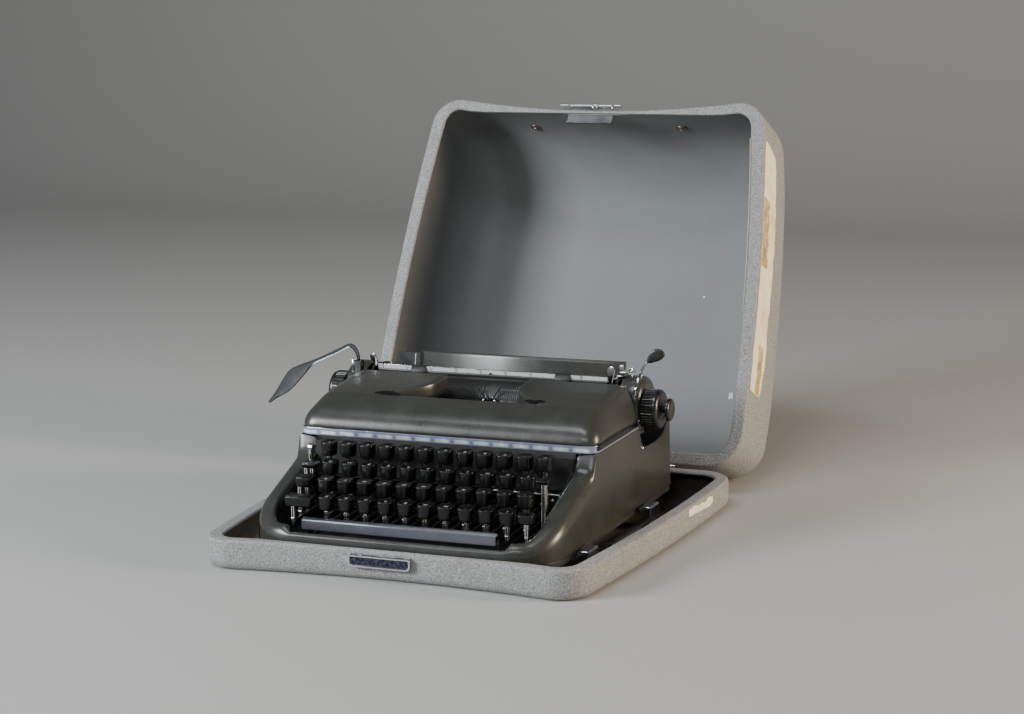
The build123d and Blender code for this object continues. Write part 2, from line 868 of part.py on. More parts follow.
for row in range(4):
    middle_y = row_front[row] + cap_w / 2
    bottom = row_top[row] - cap_h
    with BuildPart() as key_row:
        for index in range(row_count[row]):
            if row == linked_row and index == linked_key_at:
                continue
            add(key_cap(key_at(row, index), middle_y, row_top[row]))
            add(key_lever(key_at(row, index), middle_y, bottom + 0.5))
    save(key_row.part, "key_row_" + str(row + 1))

with BuildPart() as linked_key:
    y = row_front[linked_row] + cap_w / 2
    x = key_at(linked_row, linked_key_at)
    add(key_cap(x, y, row_top[linked_row]))
    add(key_lever(x, y, row_top[linked_row] - cap_h + 0.5))
save(linked_key.part, "linked_key")

well_room = 1.2            # room between the wall round the keys and the keys beside it
# name: left, right, front, deep, top, tall, lever x
side_keys = {
    "shift_left": (-111.5, -84.5, row_front[3], 13.0, row_top[3] - 2, 8.0, -105.0),
    "shift_right": (109.5, 124.5, row_front[3], 13.0, row_top[3] - 2, 8.0, 117.0),
    "shift_lock": (-110.5, -95.0, row_front[2], 13.5, row_top[2], 9.0, -108.3),
    "tab_key": (-115.5, -99.5, row_front[1], 12.0, row_top[1] - 3, 6.0, -112.0),
    "margin_release_key": (-119.5, -114.0, row_front[0] + 2, 9.0, row_top[0] - 4, 5.0, -116.8),
    "backspace_key": (112.5, 124.5, row_front[1] - 4, 9.5, row_top[1] - 1, 6.0, 121.0),
}
for name, (left, right, front, deep, top, tall, lever_x) in side_keys.items():
    with BuildPart() as side_key:
        with BuildSketch(Plane.XY.offset(top - tall)):
            with Locations(((left + right) / 2, front + deep / 2)):
                RectangleRounded(right - left, deep, 2.0)
            add(well_outline(well_room), mode=Mode.INTERSECT)
        extrude(amount=tall)
        fillet(side_key.faces().sort_by(Axis.Z)[-1].edges(), 1.2)
        add(key_lever(lever_x, front + deep / 2, top - tall + 0.5, 4.0))
    save(side_key.part, name)

space_arms = [-85.4, 94.4]
arm_t = 1.6
with BuildPart() as space_bar:
    add(block((space_left, space_y, space_top - space_h), (space_right, space_y + space_deep, space_top)))
    fillet(space_bar.edges().filter_by(Axis.X).group_by(Axis.Z)[-1], 1.5)
    for x in space_arms:
        add(
            plate_yz(
                [(space_shaft_y + 4.5, space_shaft_z + 4), (space_shaft_y - 6, space_shaft_z + 4),
                 (space_y + space_deep + 8, space_shaft_z + 2), (space_y + space_deep, space_top - 4),
                 (space_y + 3, space_top - 4), (space_y + 3, space_top - space_h),
                 (space_y + space_deep, plate_top + 7), (space_shaft_y + 4.5, space_shaft_z - 4)],
                x, arm_t, [(space_shaft_y, space_shaft_z, space_shaft_r + fulcrum_fit)],
            )
        )
save(space_bar.part, "space_bar")

# ---- Type and ribbon ----

tilt = math.radians(fan_tilt)
fan_axis = (0, math.cos(tilt), math.sin(tilt))
fan_centre = (strike[0], strike[1] - fan_drop * fan_axis[1], strike[2] - fan_drop * fan_axis[2])
fan_plane = Plane(fan_centre, x_dir=(1, 0, 0), z_dir=fan_axis)
type_reach = math.hypot(pivot_r, fan_drop)
bar_inner = pivot_r - 4.0
bar_outer = pivot_r + type_reach - 2.5
slug_w = 4.2
slug_len = 3.5
slug_half = 3.0
linked_bar = 22
pivot_wire_r = 0.7
pivot_bore_r = 0.76


def bar_angle(index):
    """Angle of a typebar from straight ahead, positive to the right."""
    return -bar_half_angle + index * 2 * bar_half_angle / bar_count


def on_fan(radius, angle):
    a = math.radians(angle)
    return (radius * math.sin(a), -radius * math.cos(a))


def pivot_plane(angle):
    """Plane through a typebar's pivot, square to the pivot wire."""
    a = math.radians(angle)
    return Plane(
        fan_plane.from_local_coords((*on_fan(pivot_r, angle), 0)),
        x_dir=fan_axis,
        z_dir=tuple(fan_plane.x_dir * math.cos(a) + fan_plane.y_dir * math.sin(a)),
    )


def typebar(index):
    angle = bar_angle(index)
    with BuildPart() as bar:
        with BuildSketch(fan_plane):
            with Locations(on_fan((bar_inner + bar_outer) / 2, angle)):
                Rectangle(bar_t, bar_outer - bar_inner, rotation=angle)
        extrude(amount=bar_w / 2, both=True)
        with BuildSketch(fan_plane):
            with Locations(on_fan(bar_outer - slug_len / 2, angle)):
                Rectangle(slug_w, slug_len, rotation=angle)
        extrude(amount=slug_half, both=True)
        with BuildSketch(pivot_plane(angle)):
            Circle(pivot_bore_r)
        extrude(amount=bar_t, both=True, mode=Mode.SUBTRACT)
    return bar.part


with BuildPart() as typebars:
    for index in range(bar_count + 1):
        if index != linked_bar:
            add(typebar(index))
save(typebars.part, "typebars")
save(typebar(linked_bar), "linked_typebar")

segment_in = pivot_r - 9.0
segment_out = pivot_r + 4.0
with BuildPart() as type_segment:
    with BuildSketch(fan_plane):
        Circle(segment_out)
        Circle(segment_in, mode=Mode.SUBTRACT)
        with Locations((0, segment_out)):
            Rectangle(2 * segment_out + 2, 2 * segment_out - 8, mode=Mode.SUBTRACT)
        for index in range(bar_count + 1):
            with Locations(on_fan(pivot_r + 2, bar_angle(index))):
                Rectangle(slot_w, 14, rotation=bar_angle(index), mode=Mode.SUBTRACT)
    extrude(amount=3.5, both=True)
    # the wire that the typebars turn on
    wire_half = bar_half_angle + 3.0
    with BuildSketch(pivot_plane(-wire_half)):
        Circle(pivot_wire_r)
    revolve(axis=Axis(fan_centre, fan_axis), revolution_arc=2 * wire_half)
    # arms that carry the segment on the cross beam behind it
    for side in (-1, 1):
        at = strike[0] + side * (segment_in + 2.0)
        add(block((at - 2, fan_centre[1] - 6, beam_z + 0.1), (at + 2, beam_y + 3, fan_centre[2] - 1)))
save(type_segment.part, "type_segment")

guide_y = strike[1] - 1.6
guide_t = 0.8
with BuildPart() as type_guide:
    x = strike[0]
    with BuildSketch(Plane.XZ.offset(-guide_y)):
        with BuildLine():
            Polyline(
                (x - 38, 97), (x + 38, 97), (x + 38, 113), (x + 12, 113), (x + 3.2, 101.0),
                (x - 3.2, 101.0), (x - 12, 113), (x - 38, 113), close=True,
            )
        make_face()
    extrude(amount=guide_t)
    add(block((x - 4, guide_y - guide_t, beam_z), (x + 4, guide_y, 98)))
save(type_guide.part, "type_guide")

vibrator_y = 57.0
with BuildPart() as ribbon_vibrator:
    x = strike[0]
    with BuildSketch(Plane.XZ.offset(-(vibrator_y - 0.6))):
        with BuildLine():
            Polyline(
                (x - 8, 88), (x + 8, 88), (x + 8, 105), (x + 3.4, 105), (x + 3.4, 93),
                (x - 3.4, 93), (x - 3.4, 105), (x - 8, 105), close=True,
            )
        make_face()
    extrude(amount=0.7)
    add(block((x - 3, vibrator_y - 1.3, beam_z + 12), (x + 3, vibrator_y - 0.6, 89)))
save(ribbon_vibrator.part, "ribbon_vibrator")

ribbon_low = 92.0
ribbon_high = 103.0
ribbon_run_y = vibrator_y + 0.3
pack_r = 17.0
with BuildPart() as ribbon:
    with BuildSketch(Plane.XY.offset(ribbon_low)):
        with BuildLine():
            Polyline(
                (-spool_x + 8, spool_y + 26), (-46, ribbon_run_y), (40, ribbon_run_y),
                (spool_x - 8, spool_y + 26), (spool_x - 8, spool_y + 26.3), (40, ribbon_run_y + 0.3),
                (-46, ribbon_run_y + 0.3), (-spool_x + 8, spool_y + 26.3), close=True,
            )
        make_face()
    extrude(amount=ribbon_high - ribbon_low)
save(ribbon.part, "ribbon")

spool_fit = 0.06
spool_core_r = 6.0


def spool(side):
    at = (side * spool_x, spool_y)
    with BuildPart() as form:
        for low, high, radius in (
            (0.3, 1.3, spool_r), (1.3, spool_h - 1, spool_core_r), (spool_h - 1, spool_h, spool_r),
        ):
            with BuildSketch(Plane.XY.offset(spool_z + low)):
                with Locations(at):
                    Circle(radius)
                    Circle(spool_pin_r + spool_fit, mode=Mode.SUBTRACT)
            extrude(amount=high - low)
    with BuildPart() as pack:
        with BuildSketch(Plane.XY.offset(spool_z + 1.4)):
            with Locations(at):
                Circle(pack_r)
                Circle(spool_core_r + 0.05, mode=Mode.SUBTRACT)
        extrude(amount=spool_h - 2.6)
    return Compound([form.part, pack.part])


save(spool(-1), "spool_left")
save(spool(1), "spool_right")

# ---- Carriage rail, lifted by the shift keys ----

rail_half = 130.0
rail_low = 78.0
rail_deep = 12.0
groove_w = 4.0
groove_deep = 3.0
boss_r = 6.0
boss_low = 64.0

with BuildPart() as shift_rail:
    add(block((-rail_half, rail_y - rail_deep / 2, rail_low), (rail_half, rail_y + rail_deep / 2, rail_top)))
    for side in (-1, 1):
        with BuildSketch(Plane.XY.offset(boss_low)):
            with Locations((side * post_x, rail_y)):
                Circle(boss_r)
        extrude(amount=rail_low - boss_low + 1)
    for side in (-1, 1):
        with BuildSketch(Plane.XY.offset(boss_low)):
            with Locations((side * post_x, rail_y)):
                Circle(post_r + fulcrum_fit)
        extrude(amount=post_top + 1.0 - boss_low, mode=Mode.SUBTRACT)
    with BuildSketch(Plane.XY.offset(rail_top)):
        with Locations((0, rail_y)):
            Rectangle(2 * rail_half, groove_w)
    extrude(amount=-groove_deep, mode=Mode.SUBTRACT)
save(shift_rail.part, "shift_rail")


# ---- Carriage ----


def on_carriage(x):
    """Position along the machine of a point given from the carriage's middle."""
    return carriage_x + x


deck_low = 92.5
deck_high = 97.0
deck_half = end_plate_at + 0.2
feed_y = 90.0
feed_r = 5.0
feed_gap = 0.35
feed_z = platen_z - math.sqrt((platen_r + feed_r + feed_gap) ** 2 - (feed_y - platen_y) ** 2)
feed_shaft_r = 1.5
table_t = 1.2
guide_rod_y = 99.6
guide_rod_z = 117.0
guide_rod_r = 1.2
paper_release_y = 90.0
paper_release_z = 121.0
pin_r = 1.6
pin_fit = 0.05
release_x = 129.0
release_y = 86.0
slide_half = 112.0         # half length of the carriage's runner and rack
tongue = groove_w / 2 - 0.1
# end plate of the carriage, as (y, z)
end_plate_line = [
    (60, deck_low), (82, deck_low), (84, 85), (97, 85), (99, deck_low), (118, deck_low),
    (118, 118), (108, 134), (92, 136), (78, 135), (70, 128), (60, 112),
]

with BuildPart() as carriage_frame:
    add(block((on_carriage(-deck_half), 101, deck_low), (on_carriage(deck_half), 119, deck_high)))
    # runner on the rail, and its tongue in the rail's groove
    for half_deep, low in ((tongue, rail_top - groove_deep + 0.3), (rail_deep / 2, rail_top + 0.06)):
        add(
            block(
                (on_carriage(-slide_half), rail_y - half_deep, low),
                (on_carriage(slide_half), rail_y + half_deep, deck_low + 0.5),
            )
        )
    for side in (-1, 1):
        x = on_carriage(side * (end_plate_at + end_plate_t / 2))
        add(
            plate_yz(
                end_plate_line, x, end_plate_t,
                [(platen_y, platen_z, shaft_r + shaft_fit), (feed_y, feed_z, feed_shaft_r + pin_fit),
                 (bail_pivot_y, bail_pivot_z, pin_r + pin_fit)],
            )
        )
    add(rod(on_carriage(-deck_half), on_carriage(deck_half), 63, 95.6, 2.5))
    add(rod(on_carriage(-deck_half), on_carriage(deck_half), guide_rod_y, guide_rod_z, guide_rod_r))
    add(block((on_carriage(-slide_half), rack_back - 3, 88), (on_carriage(slide_half), rack_back, deck_high)))
save(carriage_frame.part, "carriage_frame")

with BuildPart() as platen:
    add(rod(on_carriage(-platen_half), on_carriage(platen_half), platen_y, platen_z, platen_r, core_r))
save(platen.part, "platen")

shaft_end = 157.0
ratchet_r = 14.5
ratchet_teeth = 30
ratchet_t = 2.4
ratchet_depth = 1.6
with BuildPart() as platen_core:
    add(rod(on_carriage(-platen_half), on_carriage(platen_half), platen_y, platen_z, core_r))
    add(rod(on_carriage(-shaft_end), on_carriage(shaft_end), platen_y, platen_z, shaft_r))
    # line-spacing ratchet at the left end
    with BuildSketch(Plane.YZ.offset(on_carriage(-end_plate_at + 0.8))):
        with Locations((platen_y, platen_z)):
            Circle(ratchet_r)
            with PolarLocations(ratchet_r, ratchet_teeth):
                Rectangle(2 * ratchet_depth, 1.2, mode=Mode.SUBTRACT)
    extrude(amount=ratchet_t)
save(platen_core.part, "platen_core")


rib_count = 40
rib_w = 1.3
rib_end = 11.5             # the ribs end this far from the knob's inner face
rib_deep = 0.8
knob_shoulder_r = 4.0
button_stem_r = 3.4
button_r = 10.5
button_t = 4.0
button_at = 173.0
button_travel = 3.0


def knob(side, hollow):
    """Platen knob: ribbed rim on the inner side, rounded shoulder and stub on the outer one."""
    x_in = on_carriage(side * knob_in)
    with BuildPart() as form:
        with BuildSketch(Plane.YZ.offset(x_in)):
            with Locations((platen_y, platen_z)):
                Circle(knob_r)
        extrude(amount=side * (knob_out - knob_in))
        fillet(form.edges().group_by(Axis.X)[-1 if side > 0 else 0], knob_shoulder_r)
        with BuildSketch(Plane.YZ.offset(x_in)):
            with Locations((platen_y, platen_z)):
                with PolarLocations(knob_r, rib_count):
                    Rectangle(2 * rib_deep, rib_w)
        extrude(amount=side * rib_end, mode=Mode.SUBTRACT)
        with BuildSketch(Plane.YZ.offset(x_in)):
            with Locations((platen_y, platen_z)):
                Circle(shaft_r)
        extrude(amount=side * (shaft_end - knob_in), mode=Mode.SUBTRACT)
        if hollow:
            with BuildSketch(Plane.YZ.offset(x_in)):
                with Locations((platen_y, platen_z)):
                    Circle(button_stem_r + pin_fit)
            extrude(amount=side * (knob_out - knob_in), mode=Mode.SUBTRACT)
    return form.part


save(knob(-1, False), "left_knob")
save(knob(1, True), "right_knob")

with BuildPart() as release_button:
    add(
        rod(on_carriage(shaft_end + button_travel + 0.5), on_carriage(button_at + 1),
            platen_y, platen_z, button_stem_r)
    )
    with BuildSketch(Plane.YZ.offset(on_carriage(button_at))):
        with Locations((platen_y, platen_z)):
            Circle(button_r)
    extrude(amount=button_t)
    fillet(release_button.edges().group_by(Axis.X)[-1], 1.5)
save(release_button.part, "release_button")


housing_wall = 1.6
housing_edge_r = 3.0
stud_r = 2.6


def end_housing(side):
    """Rounded cover over one end of the carriage, open towards the end plate, with studs to it."""
    inner = on_carriage(side * housing_at)
    outer_r = (housing_back_y - housing_front_y) / 2
    middle_y = (housing_back_y + housing_front_y) / 2
    with BuildPart() as cover:
        for less, mode, offset in ((0.0, Mode.ADD, 0.0), (housing_wall, Mode.SUBTRACT, -0.1)):
            with BuildSketch(Plane.YZ.offset(inner + side * offset)):
                with Locations((middle_y, housing_top - outer_r)):
                    Circle(outer_r - less)
                with Locations((middle_y, (housing_top - outer_r + deck_low + less) / 2)):
                    Rectangle(2 * (outer_r - less), housing_top - outer_r - deck_low - less)
            extrude(amount=side * (housing_out - housing_at - less), mode=mode)
            if mode == Mode.ADD:
                fillet(cover.edges().group_by(Axis.X)[-1 if side > 0 else 0], housing_edge_r)
        with BuildSketch(Plane.YZ.offset(inner)):
            with Locations((platen_y, platen_z)):
                Circle(shaft_r + 1.0)
        extrude(amount=side * (housing_out - housing_at + 1), mode=Mode.SUBTRACT)
        for y in (housing_front_y + 4, housing_back_y - 4):
            stud_in = on_carriage(side * (end_plate_at + end_plate_t))
            stud_out = on_carriage(side * (housing_out - 1))
            add(rod(min(stud_in, stud_out), max(stud_in, stud_out), y, 99, stud_r))
    return cover.part


with BuildPart() as right_housing:
    add(end_housing(1))
    # slot for the paper release lever
    add(
        block(
            (on_carriage(141.4), paper_release_y - 13, 126),
            (on_carriage(144.8), paper_release_y + 4, housing_top + 2),
        ),
        mode=Mode.SUBTRACT,
    )
    add(
        rod(on_carriage(end_plate_at + end_plate_t), on_carriage(housing_out - 1),
            paper_release_y, paper_release_z, pin_r)
    )
    # upright pin of the carriage release lever
    with BuildSketch(Plane.XY.offset(137)):
        with Locations((release_x, release_y)):
            Circle(pin_r)
    extrude(amount=9)
save(right_housing.part, "right_housing")

lever_post_x = -137.0
lever_post_y = 58.0
lever_post_r = 2.4
with BuildPart() as left_housing:
    add(end_housing(-1))
    # bracket and upright pin of the return lever, and a stop beside it
    add(block((lever_post_x - 4, 54.5, 115.5), (lever_post_x + 4, housing_front_y + 1, 119.5)))
    with BuildSketch(Plane.XY.offset(119)):
        with Locations((lever_post_x, lever_post_y)):
            Circle(lever_post_r)
    extrude(amount=24)
    with BuildSketch(Plane.XY.offset(126)):
        with Locations((-149.0, 70)):
            Circle(1.8)
    extrude(amount=16)
save(left_housing.part, "left_housing")

lever_low = 120.0
lever_block_top = 144.0
lever_blade_t = 2.0
# front view of the lever's blade, as (x, z): upper edge out to the tip, then the lower edge back
lever_upper = [
    (-136.5, 142), (-137.4, 149), (-140.5, 156), (-147.7, 159), (-160, 153.3), (-184, 142.3),
    (-209.7, 132), (-219.5, 122), (-230, 107), (-238, 97),
]
lever_under = [
    (-236, 95.5), (-228, 101), (-214, 109), (-199, 124), (-190, 134), (-184, 138.5),
    (-160, 149.5), (-148.5, 155.3), (-143, 153), (-139.9, 147), (-139.5, 142),
]
with BuildPart() as return_lever:
    with BuildSketch(Plane.XY.offset(lever_low)):
        with Locations((lever_post_x, lever_post_y)):
            Rectangle(8, 7)
    extrude(amount=lever_block_top - lever_low)
    # long bent blade that ends in a finger tip
    with BuildSketch(Plane.XZ.offset(-(lever_post_y + 1.2 + 1.2))):
        with BuildLine():
            Spline(*lever_upper)
            Line(lever_upper[-1], lever_under[0])
            Spline(*lever_under)
            Line(lever_under[-1], lever_upper[0])
        make_face()
    extrude(amount=lever_blade_t)
    with BuildSketch(Plane.XY.offset(lever_low)):
        with Locations((lever_post_x, lever_post_y)):
            Circle(lever_post_r + fulcrum_fit)
    extrude(amount=24.0, mode=Mode.SUBTRACT)
save(return_lever.part, "return_lever")

bail_arm_at = 121.0
bail_arm_t = 1.6
tab_half = 4.0


def roller_seats():
    """Ends of the straight stretches of bail between its two rollers, as pairs."""
    gap = roller_w / 2 + 0.3
    edges = [on_carriage(-bail_half)]
    for x in roller_at:
        edges += [x - gap, x + gap]
    edges.append(on_carriage(bail_half))
    return [(edges[i], edges[i + 1]) for i in range(0, len(edges), 2)]


with BuildPart() as paper_bail:
    add(rod(on_carriage(-bail_arm_at), on_carriage(bail_arm_at), bail_y, bail_z, bail_rod_r))
    for left, right in roller_seats():
        # scale strip leaning on the front of the rod
        with BuildSketch(Plane.YZ.offset(left)):
            with Locations((bail_y - 1.6, bail_z + 2.4)):
                Rectangle(1.0, 6.4, rotation=12)
        extrude(amount=right - left)
        add(rod(left, right, bail_y, bail_z, bail_rod_r + 0.9))
    for side in (-1, 1):
        x = on_carriage(side * bail_arm_at)
        add(
            plate_yz(
                [(bail_y - 2.5, bail_z - 2.4), (bail_y - 2.5, bail_z + 2.6), (bail_y + 3, bail_z + 2.8),
                 (bail_pivot_y + 2, bail_pivot_z + 3.2), (bail_pivot_y + 3.4, bail_pivot_z),
                 (bail_pivot_y + 1, bail_pivot_z - 3.2), (bail_pivot_y - 3, bail_pivot_z - 2.2)],
                x, bail_arm_t,
            )
        )
        add(rod(min(x, x + side * 5), max(x, x + side * 5), bail_pivot_y, bail_pivot_z, pin_r))
        # upright finger tab
        with BuildSketch(Plane.XZ.offset(-(bail_y - 1.0))):
            with Locations((x, bail_z + 7.4)):
                RectangleRounded(2 * tab_half, 16.5, 3.6)
        extrude(amount=1.2)
save(paper_bail.part, "paper_bail")

with BuildPart() as bail_rollers:
    for x in roller_at:
        add(rod(x - roller_w / 2, x + roller_w / 2, bail_y, bail_z, roller_r, bail_rod_r + pin_fit))
save(bail_rollers.part, "bail_rollers")

with BuildPart() as paper_table:
    with BuildSketch(Plane.YZ.offset(table_left)):
        with BuildLine():
            Polyline(
                (table_foot_y, deck_high), (table_foot_y, table_foot_z), (table_top_y, table_top_z),
                (table_top_y + table_t, table_top_z - 0.3), (table_foot_y + table_t, table_foot_z - 0.1),
                (table_foot_y + table_t, deck_high), close=True,
            )
        make_face()
    extrude(amount=table_right - table_left)
save(paper_table.part, "paper_table")

table_lean = math.degrees(math.atan2(table_top_y - table_foot_y, table_top_z - table_foot_z))
guide_plane = Plane(
    (0, table_foot_y - 1.6, table_foot_z), x_dir=(1, 0, 0),
    z_dir=(0, -math.cos(math.radians(table_lean)), math.sin(math.radians(table_lean))),
)
guide_sleeve = 18.0
with BuildPart() as paper_guide:
    with BuildSketch(guide_plane):
        with BuildLine():
            Polyline(
                (-124, 7), (-117, 34.5), (table_left - 0.8, 34.5), (table_left - 0.8, 7), close=True,
            )
        make_face()
    extrude(amount=1.0)
    middle = table_left - 14.0
    add(rod(middle - guide_sleeve / 2, middle + guide_sleeve / 2, guide_rod_y, guide_rod_z, guide_rod_r + 1.1))
    with BuildSketch(Plane.YZ.offset(middle - guide_sleeve)):
        with Locations((guide_rod_y, guide_rod_z)):
            Circle(guide_rod_r + pin_fit)
    extrude(amount=2 * guide_sleeve, mode=Mode.SUBTRACT)
save(paper_guide.part, "paper_guide")

feed_at = [-72.0, 0.0, 72.0]
feed_w = 34.0
with BuildPart() as feed_rollers:
    add(rod(on_carriage(-end_plate_at - end_plate_t), on_carriage(end_plate_at + end_plate_t),
            feed_y, feed_z, feed_shaft_r))
    for x in feed_at:
        add(rod(on_carriage(x - feed_w / 2), on_carriage(x + feed_w / 2), feed_y, feed_z, feed_r))
save(feed_rollers.part, "feed_rollers")

release_arm_x = 137.1
release_arm_t = 1.8
with BuildPart() as paper_release_lever:
    add(
        plate_yz(
            [(paper_release_y - 3.4, paper_release_z - 2), (paper_release_y - 2, paper_release_z - 3.6),
             (paper_release_y + 2, paper_release_z - 3.6), (paper_release_y + 3.4, paper_release_z - 2),
             (paper_release_y + 1.6, 139.5), (paper_release_y - 1.6, 139.5)],
            release_arm_x, release_arm_t, [(paper_release_y, paper_release_z, pin_r + pin_fit)],
        )
    )
    with BuildSketch(Plane.XZ.offset(-(paper_release_y + 1.1))):
        with BuildLine():
            Polyline(
                (release_arm_x - 0.9, 138.6), (release_arm_x + 0.9, 138.6), (144.5, 151.5), (142.5, 152.5),
                close=True,
            )
        make_face()
    extrude(amount=2.2)
    with BuildSketch(Plane.XZ.offset(-(paper_release_y + 1.6))):
        with BuildLine():
            Spline(
                (142.5, 150.5), (145.5, 157), (150.5, 163), (156.5, 163.3), (160.8, 158.8), (157.5, 154.2),
                (151.7, 151.6), (146, 149.6), (142.5, 150.5), periodic=False,
            )
        make_face()
    extrude(amount=3.2)
save(paper_release_lever.part, "paper_release_lever")

release_low = 140.6
with BuildPart() as carriage_release_lever:
    with BuildSketch(Plane.XY.offset(release_low)):
        with Locations((release_x, release_y)):
            Circle(4.0)
        with BuildLine():
            Polyline((125.2, 86), (132.8, 86), (134.6, 77.5), (121.6, 75.5), close=True)
        make_face()
    extrude(amount=2.6)
    with BuildSketch(Plane.XY.offset(release_low)):
        with BuildLine():
            Polyline((121.6, 75.5), (121.2, 78.6), (124.6, 79.2), (125.2, 76.05), close=True)
        make_face()
    extrude(amount=8.6)
    with BuildSketch(Plane.XY.offset(release_low)):
        with Locations((release_x, release_y)):
            Circle(pin_r + pin_fit)
    extrude(amount=10, mode=Mode.SUBTRACT)
save(carriage_release_lever.part, "carriage_release_lever")

with BuildPart() as mainspring_drum:
    with BuildSketch(Plane.XY.offset(drum_low)):
        with Locations((drum_x, rear_beam_y)):
            Circle(drum_r)
            Circle(arbor_r + arbor_fit, mode=Mode.SUBTRACT)
    extrude(amount=drum_high - drum_low)
save(mainspring_drum.part, "mainspring_drum")

wheel_teeth = 36
with BuildPart() as escapement_wheel:
    with BuildSketch(Plane.XY.offset(pinion_low)):
        with Locations((0, pinion_y)):
            Circle(pinion_r)
            Circle(arbor_r + arbor_fit, mode=Mode.SUBTRACT)
            with PolarLocations(pinion_r, wheel_teeth):
                Rectangle(2.0, 0.8, mode=Mode.SUBTRACT)
    extrude(amount=pinion_high - pinion_low)
save(escapement_wheel.part, "escapement_wheel")
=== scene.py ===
import json
import math

import bmesh
import bpy
from mathutils import Matrix, Vector


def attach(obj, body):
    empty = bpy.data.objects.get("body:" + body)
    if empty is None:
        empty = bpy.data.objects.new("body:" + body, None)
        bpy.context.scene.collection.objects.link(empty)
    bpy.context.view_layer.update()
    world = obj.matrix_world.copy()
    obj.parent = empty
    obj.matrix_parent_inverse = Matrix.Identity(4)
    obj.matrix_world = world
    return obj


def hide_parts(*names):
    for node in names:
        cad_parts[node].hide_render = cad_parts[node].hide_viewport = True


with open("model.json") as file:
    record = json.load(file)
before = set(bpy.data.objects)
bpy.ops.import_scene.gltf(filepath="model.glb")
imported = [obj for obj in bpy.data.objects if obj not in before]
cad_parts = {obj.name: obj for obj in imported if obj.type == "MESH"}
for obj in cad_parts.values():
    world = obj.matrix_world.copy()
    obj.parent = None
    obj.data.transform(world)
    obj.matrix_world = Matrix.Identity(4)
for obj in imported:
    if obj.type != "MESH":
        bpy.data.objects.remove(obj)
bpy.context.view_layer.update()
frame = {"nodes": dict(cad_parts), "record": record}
nodes = frame["nodes"]
print("frame loaded,", len(nodes), "nodes")


# a value that changes over a surface, for writing shader maths as plain sums
class Num:
    def __init__(self, finish, socket):
        self.finish = finish
        self.socket = socket

    def math(self, operation, first, second):
        return self.finish.node("ShaderNodeMath", {"operation": operation}, {0: first, 1: second})

    def __add__(self, other):
        return self.math("ADD", self, other)

    def __radd__(self, other):
        return self.math("ADD", other, self)

    def __sub__(self, other):
        return self.math("SUBTRACT", self, other)

    def __rsub__(self, other):
        return self.math("SUBTRACT", other, self)

    def __mul__(self, other):
        return self.math("MULTIPLY", self, other)

    def __rmul__(self, other):
        return self.math("MULTIPLY", other, self)


class Finish:
    def __init__(self, name, **fixed):
        self.material = bpy.data.materials.new(name)
        self.material.use_nodes = True
        self.tree = self.material.node_tree
        self.shader = self.tree.nodes["Principled BSDF"]
        for key, value in fixed.items():
            self.shader.inputs[key.replace("_", " ")].default_value = value
        self.place = self.node("ShaderNodeTexCoord", {}, {}, "Object")

    def node(self, kind, settings, inputs, output=0):
        made = self.tree.nodes.new(kind)
        for key, value in settings.items():
            setattr(made, key, value)
        for key, value in inputs.items():
            if isinstance(value, Num):
                self.tree.links.new(value.socket, made.inputs[key])
            else:
                made.inputs[key].default_value = value
        return Num(self, made.outputs[output])

    def noise(self, scale, detail=2.0, rough=0.5, stretch=None):
        place = self.place
        if stretch:
            place = self.node("ShaderNodeMapping", {}, {"Vector": place, "Scale": stretch})
        return self.node(
            "ShaderNodeTexNoise", {}, {"Vector": place, "Scale": scale, "Detail": detail, "Roughness": rough}
        )

    def cells(self, scale, feature="F1"):
        return self.node("ShaderNodeTexVoronoi", {"feature": feature}, {"Vector": self.place, "Scale": scale})

    def band(self, value, low, high, start=0.0, end=1.0):
        return self.node(
            "ShaderNodeMapRange", {},
            {"Value": value, "From Min": low, "From Max": high, "To Min": start, "To Max": end},
        )

    def axis(self, name):
        return self.node("ShaderNodeSeparateXYZ", {}, {0: self.place}, name)

    def blend(self, share, first, second):
        return self.node("ShaderNodeMix", {"data_type": "RGBA"}, {0: share, 6: first, 7: second}, 2)

    def feed(self, socket, value):
        self.tree.links.new(value.socket, self.shader.inputs[socket])
        return self

    def tint(self, share, first, second):
        return self.feed("Base Color", self.blend(share, first, second))

    def roughen(self, value, low, high, start, end):
        return self.feed("Roughness", self.band(value, low, high, start, end))

    def bump(self, height, strength, distance):
        lift = self.node("ShaderNodeBump", {}, {"Height": height, "Strength": strength, "Distance": distance})
        return self.feed("Normal", lift)


def grey(value, warm=0.0):
    return (value * (1 + warm), value, value * (1 - warm), 1)


# outer skin of the case: coarse leather-grain lacquer, scuffed and a little dirty
caseGrain = {"light": grey(0.44, 0.01), "dark": grey(0.12, 0.03), "stain": (0.20, 0.165, 0.12, 1),
             "grain": 520.0}
caseOutside = Finish("pebbledCase", Roughness=0.62)
pebbles = caseOutside.cells(caseGrain["grain"])
speckle = caseOutside.noise(900.0, 3.0, 0.7)
patches = caseOutside.noise(14.0, 5.0, 0.65)
base = caseOutside.blend(caseOutside.band(speckle, 0.35, 0.65), caseGrain["dark"], caseGrain["light"])
caseOutside.tint(caseOutside.band(patches, 0.58, 0.82, 0.0, 0.55), base, caseGrain["stain"])
caseOutside.roughen(patches, 0.3, 0.7, 0.55, 0.75)
caseOutside.bump(pebbles * 0.6 + speckle * 0.4, 0.75, 0.0006)

